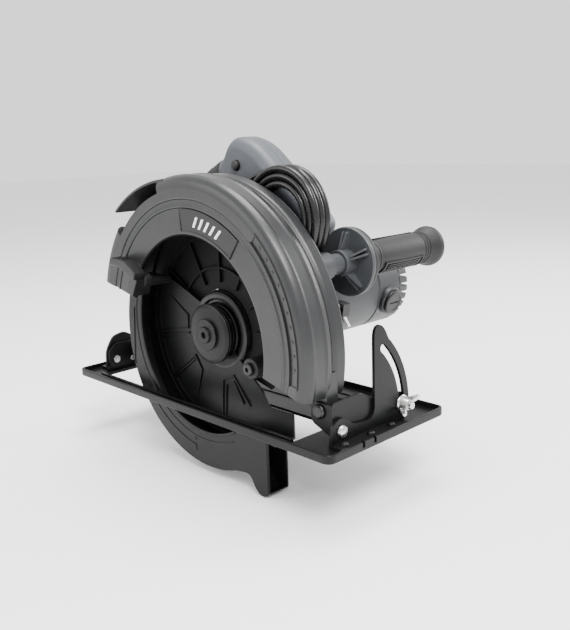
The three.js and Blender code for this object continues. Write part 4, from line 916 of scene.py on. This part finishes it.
def make_tilt_parts():
    refined("front_tilt_bracket", black_paint, 0.5)
    refined("rear_tilt_bracket", black_paint, 0.5)
    refined("rear_bevel_bracket", black_paint, 0.6)
    refined("bevel_lock_bolt", zinc, 0.25)
    refined("rear_lock_bolt", zinc, 0.3)
    refined("depth_pivot_pin", dark_steel, 0.3)
    slot_y, slot_z = polar(QUADRANT_SLOT, 2)
    start = QUADRANT_X + 3.3
    hub = lathe([(3.6, start), (7.6, start), (7.9, start + 0.8), (7.4, start + 1.6), (6.6, start + 2),
                 (5.6, start + 6), (4.9, start + 8.6),
                 (3.6, start + 8.9)], 48, closed=True)
    turn(hub, -90, "Z")
    wings = []
    for side in (30, 210):
        wing = plate(soften([(start + 1, 2), (start + 7.4, 2), (start + 12.4, 10.4, 4),
                             (start + 11.4, 14.6, 4), (start + 4, 9.6, 3)]),
                     -1.5, 1.5, "XY", 0.7, 3)
        wings.append(turn(wing, side, "X"))
    nut = merged(hub, *wings)
    piece("wing_nut", move(nut, 0, BEVEL_Y + slot_y, BEVEL_Z + slot_z), ON_SOLE, zinc, "bevel_wing_nut",
          ("bevel_wing_nut",), smooth=40)


make_tilt_parts()


ARM_RADIUS, ARM_HALF_WIDTH = 240, 11
ARM_INSIDE = ARM_RADIUS - ARM_HALF_WIDTH
ARM_TOP, ARM_BOTTOM = 180 - 36.6, 184


def make_depth_arm():
    pivot = (sole_mm(DEPTH_PLACE)[0], sole_mm(DEPTH_PLACE)[2])
    band = arc(ARM_RADIUS + ARM_HALF_WIDTH, ARM_TOP, ARM_BOTTOM, 60, pivot)
    band += arc(ARM_INSIDE, ARM_BOTTOM, ARM_TOP, 60, pivot)
    sheet = plate(band, 20, 23)
    foot_end = pivot[0] - ARM_INSIDE
    foot = plate(soften([(-179.2, 13, 2), (foot_end, 13), (foot_end, 30), (-179.2, 30, 2)]), 20, 23)
    slot = plate(arc_slot(ARM_RADIUS, 8.6, 146, 179, pivot), 18, 25)
    arm = carve(sheet, [slot], [foot])
    piece("depth_slot_arm", arm, ON_SOLE, steel, "tilt_frame", ("depth_arm",), smooth=30, edge=0.35)
    marks = []
    for step in range(14):
        mark = block(246.5 - (2.2 if step % 2 == 0 else 0), 250, 22.9, 23.14, -0.3, 0.3)
        marks.append(move(turn(mark, -(147 + 2.3 * step), "Y"), pivot[0], 0, pivot[1]))
    piece("depth_scale_marks", merged(*marks), ON_SOLE, black_plastic, "tilt_frame")


make_depth_arm()

# ---- hub ----
SOCKET = 3.6


def make_hub():
    flange = lathe([(4.8, -13.2), (14, -13.2), (14.6, -12.9), (16, -12.1), (24.6, -11.5), (26.4, -11.1),
                    (29, -9.9), (29.3, -9.4),
                    (29.3, -8.2), (29, -8), (24, -8), (22, -9), (7.8, -9), (7.8, -9.4), (4.8,
                                                                                         -9.4)], 96, closed=True)
    piece("outer_clamp_flange", flange, TILTED, black_paint, "spindle", ("outer_flange",), smooth=30)
    bolt = lathe([(0, -17), (7, -17), (7.7, -16.8), (8, -16.1), (8, -15), (14.9, -15), (15.5, -14.6),
                  (15.5, -13.9), (15.2, -13.5),
                  (4, -13.5), (4, 8), (0, 8)], 72)
    bolt = carve(bolt, [rod(SOCKET, -18, -14.6, steps=6)])
    piece("socket_bolt", bolt, TILTED, black_paint, "spindle", ("arbor_bolt",), smooth=30, edge=0.25)
    for name, finish in (("inner_flange", dark_steel), ("spindle", dark_steel), ("spindle_gear", steel),
                         ("pinion", steel),
                         ("spindle_front_bearing", steel), ("spindle_rear_bearing",
                                                            steel), ("armature_front_bearing", steel),
                         ("armature_rear_bearing", steel), ("guard_return_spring",
                                                            dark_steel), ("guard_circlip", dark_steel),
                         ("field_core", steel), ("armature_shaft", steel), ("armature_core",
                                                                            copper), ("commutator", copper),
                         ("cooling_fan", black_plastic), ("aux_stud", zinc), ("switch_body", black_plastic),
                         ("hex_key_clip", black_plastic)):
        refined(name, finish, 0.2)


make_hub()

# ---- gear housing and motor ----
MOTOR_X, MOTOR_Z = polar(42, 52)
MOTOR_RADIUS = 45
BRUSH_Y = 170
BRUSH_TURN = 17 - REST_TILT


def at_motor(shape):
    return move(shape, MOTOR_X, 0, MOTOR_Z)


def faces_blade(face):
    """Faces of the gear housing inside the upper guard, in the frame's metres, which take the near-black painted
    shade.
    """
    middle = face.calc_center_median() - ARBOR
    return middle.y < 0.012 and math.hypot(middle.x, middle.z) < 0.043


def make_gear_housing():
    # Faces of the gear housing inside the upper guard take the near-black painted shade.
    refined("gear_housing", pale_housing, 0.9, smooth=40, inner=(faces_blade, painted_shade_black))
    refined("gear_cover", alloy, 0.6, smooth=40)
    collar = lathe([(31.8, 7.4), (31.8, 4.2), (32.6, 2.6), (34.6, 1.8), (37, 2.2), (38.8, 3.8), (39.4, 6),
                    (39.4, 7.4)], 96, closed=True)
    piece("bearing_cover_lip", collar, TILTED, black_plastic, "saw_body")
    heads = []
    for angle in (35, 95, 150, 205, -20):
        x, z = polar(MOTOR_RADIUS - 5.2, angle)
        if math.hypot(x + MOTOR_X, z + MOTOR_Z) > 42:
            heads.append((x, z))
    screws = [move(rod(3.6, 12.5, 10.5, steps=24), x, 0, z) for x, z in heads]
    piece("housing_screws", at_motor(merged(*screws)), TILTED, zinc, "saw_body")


make_gear_housing()


def make_motor():
    profile = [(42, 41.6), (44.2, 41.6), (45, 42.4), (45, 60), (44.1, 61), (44.1, 63), (45, 64), (45, 150),
               (44.1, 151), (44.1, 153),
               (45, 154), (45, 185), (44.4, 185.7), (42, 185.7)]
    tube = lathe(profile, 128, closed=True)
    bosses = []
    bores = []
    for side in (0, 180):
        boss = lathe([(0, 40), (15, 40), (15, 48), (14, 49), (0, 49)], 64)
        bosses.append(move(turn(turn(boss, -90, "Z"), BRUSH_TURN + side, "Y"), 0, BRUSH_Y, 0))
        bore = rod(7.6, 20, 60)
        bores.append(move(turn(turn(bore, -90, "Z"), BRUSH_TURN + side, "Y"), 0, BRUSH_Y, 0))
    hollow = rod(42, 40, 188, steps=128)
    body = carve(tube, [hollow, *bores], bosses)
    piece("motor_barrel", at_motor(body), TILTED, pale_housing, "saw_body", ("motor_housing",), smooth=30,
          edge=0.4)
    piece("rating_plate", at_motor(ring(44.9, 45.35, 92, 128, 24, -118, -68)), TILTED, zinc, "saw_body")
    for name, side in (("front", 0), ("rear", 180)):
        cap = lathe([(0, 40), (7.2, 40), (7.2, 49.3), (12.6, 49.3), (13, 49.8), (13, 51.2), (12, 52.3),
                     (9.5, 52.5), (9, 51.9), (0, 51.9)], 64)
        slot = block(-6.6, 6.6, 50.9, 54, -0.9, 0.9)
        cap = carve(cap, [slot])
        place = move(turn(turn(cap, -90, "Z"), BRUSH_TURN + side, "Y"), 0, BRUSH_Y, 0)
        piece(f"{name}_brush_screw_cap", at_motor(place), TILTED, black_plastic, "saw_body",
              (f"{name}_brush_cap",), edge=0.15)


make_motor()


def make_end_cap():
    shell = lathe([(42, 186), (44.4, 186), (45, 186.6), (45, 197), (43.6, 200.4), (41, 202.6), (40, 203),
                   (0, 203), (0, 200), (39, 200),
                   (42, 196)], 128)
    scallops = [turn(move(rod(3.4, 183, 206, steps=16), 47.6, 0, 0), angle, "Y") for angle in range(0, 360,
                                                                                                    15)]
    slots = [block(-60, 60, 189.5, 210, z - 2, z + 2) for z in (-27, -18, 18, 27)]
    slots += [block(x, x + 40, 189.5, 210, z - 2, z + 2) for z in (-9, 0, 9) for x in (-60, 20)]
    cap = carve(shell, scallops + slots)
    turn(cap, -REST_TILT, "Y")
    piece("motor_vent_cap", at_motor(cap), TILTED, pale_housing, "saw_body", ("motor_end_cap",), smooth=35,
          edge=0.5)
    screws = []
    for angle in (45, 135, 225, 315):
        head = carve(rod(3.4, 199, 203, steps=28), cross_cut(2.2, 202, 205))
        screws.append(turn(move(head, 33, 0, 0), angle, "Y"))
    piece("cap_screws", at_motor(merged(*screws)), TILTED, zinc, "saw_body")


make_end_cap()

# ---- main handle ----
HANDLE_FAR = 79.3
HANDLE_EYE = (-45, 88)
HANDLE_OUTSIDE = [(60, 30), (61, 78, 3), (57, 92, 8), (61, 106, 8), (66, 123, 9), (44, 137, 14),
                  (-3, 163, 30), (-31, 176, 18),
                  (-62, 176, 12), (-70, 152, 8), (-86, 139, 14), (-126, 97, 24), (-144, 74, 14), (-141, 50,
                                                                                                  12), (-112, 32, 20),
                  (-60, 22, 10), (-10, 14)]
HAND_SPACE = [(-28, 134, 12), (-50, 129, 10), (-106, 73, 12), (-106, 56, 11), (-40, 55, 14), (-6, 76, 10),
              (6, 98, 12)]
AUX_X, AUX_Z = 94.41, 96.71
TRIGGER_PIVOT = (-55, 124)
LOCK_OFF = (-46, 150)


def ray_length(outline, angle):
    """How far the outline lies from the handle's eye in that direction."""
    origin = Vector(HANDLE_EYE)
    way = Vector((math.cos(angle), math.sin(angle)))
    best = 0
    for index, corner in enumerate(outline):
        first = Vector(outline[index - 1]) - origin
        second = Vector(corner) - origin
        step = second - first
        cross = way.x * step.y - way.y * step.x
        if abs(cross) < 1e-9:
            continue
        along = (first.x * step.y - first.y * step.x) / cross
        share = (first.x * way.y - first.y * way.x) / cross
        if along > 0 and -1e-9 <= share <= 1 + 1e-9:
            best = max(best, along)
    return best


def handle_section(outer, inner, width, rounding):
    """A rounded rectangle between two rays' ends, as (distance, sideways) pairs."""
    middle, half = (outer + inner) / 2, (outer - inner) / 2
    bend = min(rounding, half * 0.96, width * 0.96)
    corners = []
    for sx, sy, start in ((1, 1, 0), (-1, 1, 90), (-1, -1, 180), (1, -1, 270)):
        for step in range(7):
            out, aside = polar(bend, start + 15 * step)
            corners.append((middle + sx * (half - bend) + out, sy * (width - bend) + aside))
    return corners


def handle_sweep(start, end, steps, outer_drop=0.0, inner_drop=0.0, width=19.0, rounding=11.0):
    outside, space = soften(HANDLE_OUTSIDE, 10), soften(HAND_SPACE, 10)
    closed = end - start >= 360
    shape = bmesh.new()
    rings = []
    for step in range(steps if closed else steps + 1):
        angle = math.radians(start + (end - start) * step / steps)
        outer = ray_length(outside, angle) - outer_drop
        inner = ray_length(space, angle) + inner_drop
        section = []
        for distance, sideways in handle_section(outer, inner, width, rounding):
            section.append(shape.verts.new((HANDLE_EYE[0] + distance * math.cos(angle),
                                            HANDLE_MIDDLE + sideways,
                                         HANDLE_EYE[1] + distance * math.sin(angle))))
        rings.append(section)
    pairs = zip(rings, rings[1:] + rings[:1]) if closed else zip(rings, rings[1:])
    for first, second in pairs:
        for index in range(len(first)):
            after = (index + 1) % len(first)
            shape.faces.new((first[index], first[after], second[after], second[index]))
    if not closed:
        shape.faces.new(rings[0])
        shape.faces.new(rings[-1])
    bmesh.ops.recalc_face_normals(shape, faces=shape.faces)
    return shape


def half_of(shape, low, high):
    """The part of a shape between two sideways places."""
    for place, way in ((low, -1), (high, 1)):
        cut_away(shape, (0, place, 0), (0, way, 0))
    bmesh.ops.recalc_face_normals(shape, faces=shape.faces)
    return shape


def handle_cutters():
    gap = plate([(-46, 131), (-65, 131), (-98, 100), (-98, 80), (-80, 80), (-46, 119)], HANDLE_MIDDLE - 8.5,
                HANDLE_MIDDLE + 8.5)
    gland = move(turn(turn(rod(7.3, -30, 30), 90, "Z"), GLAND_SLOPE, "Y"), GLAND_X, HANDLE_MIDDLE, GLAND_Z)
    return [gap, gland, at_motor(rod(45.3, 0, 200, steps=128)),
            move(rod(34.5, 0, 200, steps=96), AUX_X, 0, AUX_Z)]


def make_handle():
    for name, low, high in (("near", HANDLE_MIDDLE - 0.15, 100), ("far", 0, HANDLE_MIDDLE + 0.15)):
        half = handle_sweep(0, 360, 220)
        cutters = [block(-300, 300, low, high, -200, 300), *handle_cutters()]
        if name == "near":
            cutters.append(move(rod(5.4, 0, HANDLE_MIDDLE), LOCK_OFF[0], 0, LOCK_OFF[1]))
        half = carve(half, cutters)
        # The handle shells take the housing plastic lightened as painted light for their lit top.
        piece(f"handle_{name}_shell", half, TILTED, housing, "saw_body", (f"handle_{name}_half",),
              smooth=38)
    pads = []
    for low, high in ((0, HANDLE_MIDDLE - 0.4), (HANDLE_MIDDLE + 0.4, 200)):
        pads.append(half_of(handle_sweep(118, 196, 60, -0.7, -0.6, 19.8, 11.4), low, high))
    gap = plate([(-44, 133), (-67, 133), (-100, 101), (-100, 78), (-78, 78), (-44, 117)],
                HANDLE_MIDDLE - 9.5, HANDLE_MIDDLE + 9.5)
    pad = carve(merged(*pads), [gap])
    piece("handle_soft_pad", pad, TILTED, grip_rubber, "saw_body", smooth=38)
    ridges = []
    for angle in range(132, 192, 5):
        for low, high in ((0, HANDLE_MIDDLE - 0.6), (HANDLE_MIDDLE + 0.6, 200)):
            ridges.append(half_of(handle_sweep(angle, angle + 1.6, 2, -1.15, 9, 20.3, 11.7), low, high))
    piece("handle_pad_ridges", merged(*ridges), TILTED, grip_rubber, "saw_body", smooth=38)
    screws = []
    for x, z in ((-22, 150), (30, 118), (-124, 62), (-60, 38), (46, 96)):
        head = carve(lathe([(0, 0), (3.4, 0), (3.4, 2), (3, 2.4), (0, 2.4)], 32), cross_cut(2.3, -1, 0.8))
        rim = lathe([(3.6, -0.5), (5.4, -0.5), (5.6, 0.6), (3.6, 0.6)], 32, closed=True)
        screws.append(move(turn(head, 180, "X"), x, HANDLE_FAR + 0.4, z))
        screws.append(move(turn(rim, 180, "X"), x, HANDLE_FAR + 0.2, z))
    piece("handle_screws", merged(*screws), TILTED, zinc, "saw_body")


make_handle()


def make_controls():
    trigger = plate(soften([(-49, 122, 4), (-54, 130, 5), (-62, 127, 3), (-87, 101, 3), (-90, 88, 3),
                            (-78, 84, 5), (-66, 99, 14),
                            (-50, 115, 4)]), HANDLE_MIDDLE - 8, HANDLE_MIDDLE + 8, edge=2.2, segments=4)
    pin = move(rod(2.5, 44.6, 76), TRIGGER_PIVOT[0], 0, TRIGGER_PIVOT[1])
    piece("trigger_lever", merged(trigger, pin), TILTED, black_plastic, "trigger", ("trigger",), smooth=40)
    button = lathe([(0, 37.9), (3.6, 37.9), (4.6, 38.4), (5, 39.2), (5, 53.3), (0, 53.3)], 48)
    piece("lock_off_push", move(button, LOCK_OFF[0], 0, LOCK_OFF[1]), TILTED, black_plastic,
          "lock_off_button", ("lock_off_button",))
    refined("spindle_lock_button", black_plastic, 0.5)


make_controls()

# ---- auxiliary handle ----
FLANGE_Y = 60
PANEL_HALF = 34


def at_aux(shape):
    return move(shape, AUX_X, 0, AUX_Z)


def grip_ridge(r, y):
    """A rounded ridge about the grip, at radius r and height y."""
    return lathe([(r - 1.2, y - 1.2), (r + 0.3, y - 0.7), (r + 0.55, y), (r + 0.3, y + 0.7),
                  (r - 1.2, y + 1.2)],
                 72, closed=True)


def make_aux():
    face = lathe([(5.3, 48), (11.6, 48), (12, 48.4), (12, FLANGE_Y), (30.6, FLANGE_Y),
                  (31.3, FLANGE_Y + 0.8), (31.5, FLANGE_Y + 1.4),
                  (31.5, FLANGE_Y + 3.2), (31, FLANGE_Y + 4), (5.3, FLANGE_Y + 4)], 96, closed=True)
    ribs = []
    for angle in (95, 85, 30, 20, -50, -60, 215, 205):
        rib = plate(soften([(10, 50.5), (14, 51.5, 3), (27.5, 58, 2), (27.5, 60.5), (10, 60.5)]), -0.9, 0.9,
                    "XY")
        ribs.append(turn(rib, -angle, "Y"))
    flange = turn(carve(face, added=ribs), -REST_TILT, "Y")
    piece("aux_ribbed_flange", at_aux(flange), TILTED, pale_housing, "saw_body", ("aux_flange",), smooth=32,
          edge=0.3)
    grip_profile = [(5.3, 64.3), (30.4, 64.3), (31, 65), (31, 67.8), (30.2, 69.2), (22, 72.2), (17.6, 73.6),
                    (16.4, 75), (15.2, 84),
                    (14.6, 94), (14.6, 95)]
    for step in range(13):
        y = 96 + step * 5.8
        grip_profile.append((14.6 + 1.4 * math.sin(math.pi * (y - 90) / 90), y))
    grip_profile += [(15.2, 168), (15.6, 171), (18.9, 176), (19.8, 179.4), (20, 181.4), (19.4, 184.2),
                     (17.4, 186.8), (14, 188),
                     (0, 188), (0, 154), (5.3, 154)]
    body = lathe(grip_profile)
    fill_holes(body)
    bmesh.ops.recalc_face_normals(body, faces=body.faces)
    piece("aux_grip_body", at_aux(body), TILTED, grip_rubber, "saw_body", ("aux_grip",), smooth=35)
    ridges = [grip_ridge(r, y) for r, y in ((16.2, 76), (15.8, 80), (15.3, 84), (15, 88), (14.8, 92),
                                            (15.6, 160), (15.5, 164), (15.5, 168))]
    piece("aux_grip_ridges", at_aux(merged(*ridges)), TILTED, grip_rubber, "saw_body")
    frames = []
    for centre in (-25 - REST_TILT, 155 - REST_TILT):
        for low, high in ((98, 99.6), (154.4, 156)):
            frames.append(ring(14.5, 16.7, low, high, 20, centre - PANEL_HALF, centre + PANEL_HALF))
        for side in (-PANEL_HALF, PANEL_HALF - 1.8):
            frames.append(ring(14.5, 16.7, 98, 156, 3, centre + side, centre + side + 4))
        for lane in range(-24, 25, 8):
            frames.append(ring(14.6, 16.5, 103, 151, 2, centre + lane - 1.6, centre + lane + 1.6))
    piece("aux_grip_panels", at_aux(merged(*frames)), TILTED, grip_rubber, "saw_body")


make_aux()

# ---- depth lock and hex key ----
DEPTH_BOLT = (-88.66, -7.61)


def make_depth_lock():
    bolt = lathe([(0, 15.5), (7.4, 15.5), (8.4, 16), (9, 17.4), (9, 19.5), (4, 19.5), (4, 42.5), (0, 42.5)],
                 48)
    piece("depth_carriage_bolt", move(bolt, DEPTH_BOLT[0], 0, DEPTH_BOLT[1]), TILTED, zinc, "saw_body",
          ("depth_lock_bolt",))
    hub = lathe([(4.3, 33.8), (9.4, 33.8), (10, 34.6), (10, 40.6), (9.4, 41.5), (4.3, 41.5)], 56,
                closed=True)
    bar = plate(soften([(-52, -8, 5), (-52, 5, 5), (-6, 8), (-6, -8)]), 35, 40.5, edge=1.3, segments=3)
    piece("depth_lever_arm", move(merged(hub, bar), DEPTH_BOLT[0], 0, DEPTH_BOLT[1]), TILTED, black_plastic,
          "depth_lock_lever",
          ("depth_lock_lever",), smooth=35)


make_depth_lock()


KEY_RADIUS, KEY_ARM, KEY_BEND = 49.5, 22, 7


def make_hex_key():
    def on_motor(angle, y):
        across, up = polar(KEY_RADIUS, angle)
        return Vector((MOTOR_X + across, y, MOTOR_Z + up))

    bend, tip = on_motor(12, 83), on_motor(-23, 110)
    way = (tip - bend).normalized()
    back = Vector((0, -1, 0))
    line = [bend + back * KEY_ARM, *curve(bend + back * KEY_BEND, bend, bend + way * KEY_BEND, 14), tip]
    piece("hex_key_bent", hose(line, 2.1, 6), TILTED, zinc, "saw_body", ("hex_key",), smooth=25)


make_hex_key()


# ---- setting and light ----
def make_setting():
    floor_mesh = bpy.data.meshes.new("studio_floor")
    floor_shape = bmesh.new()
    bmesh.ops.create_grid(floor_shape, x_segments=1, y_segments=1, size=6)
    bmesh.ops.translate(floor_shape, vec=(0, 0, cad_box[0][2] - 0.0005), verts=floor_shape.verts)
    floor_shape.to_mesh(floor_mesh)
    floor_shape.free()
    floor = placed("studio_floor", floor_mesh)
    pale = bpy.data.materials.new("studio_pale")
    pale.use_nodes = True
    shader = pale.node_tree.nodes["Principled BSDF"]
    shader.inputs["Base Color"].default_value = (0.9, 0.9, 0.9, 1)
    shader.inputs["Roughness"].default_value = 0.9
    floor_mesh.materials.append(pale)
    world = bpy.data.worlds.new("studio_world")
    world.use_nodes = True
    world.node_tree.nodes["Background"].inputs["Color"].default_value = (1, 1, 1, 1)
    world.node_tree.nodes["Background"].inputs["Strength"].default_value = 1.5
    bpy.context.scene.world = world
    for name, place, power, size in (("key", (0.9, -0.5, 1.3), 40, 0.7),
                                     ("fill", (-0.7, -1.3, 0.7), 10, 1.0),
                                     ("top", (-0.1, 0.2, 1.6), 34, 0.9), ("rim", (0.5, 1.4, 0.8), 16, 0.8)):
        light = bpy.data.lights.new(name, "AREA")
        light.shape = "DISK"
        light.size = size
        light.energy = power
        lamp = placed(name, light)
        lamp.location = place
        lamp.rotation_euler = (ARBOR - Vector(place)).to_track_quat("-Z", "Y").to_euler()


make_setting()
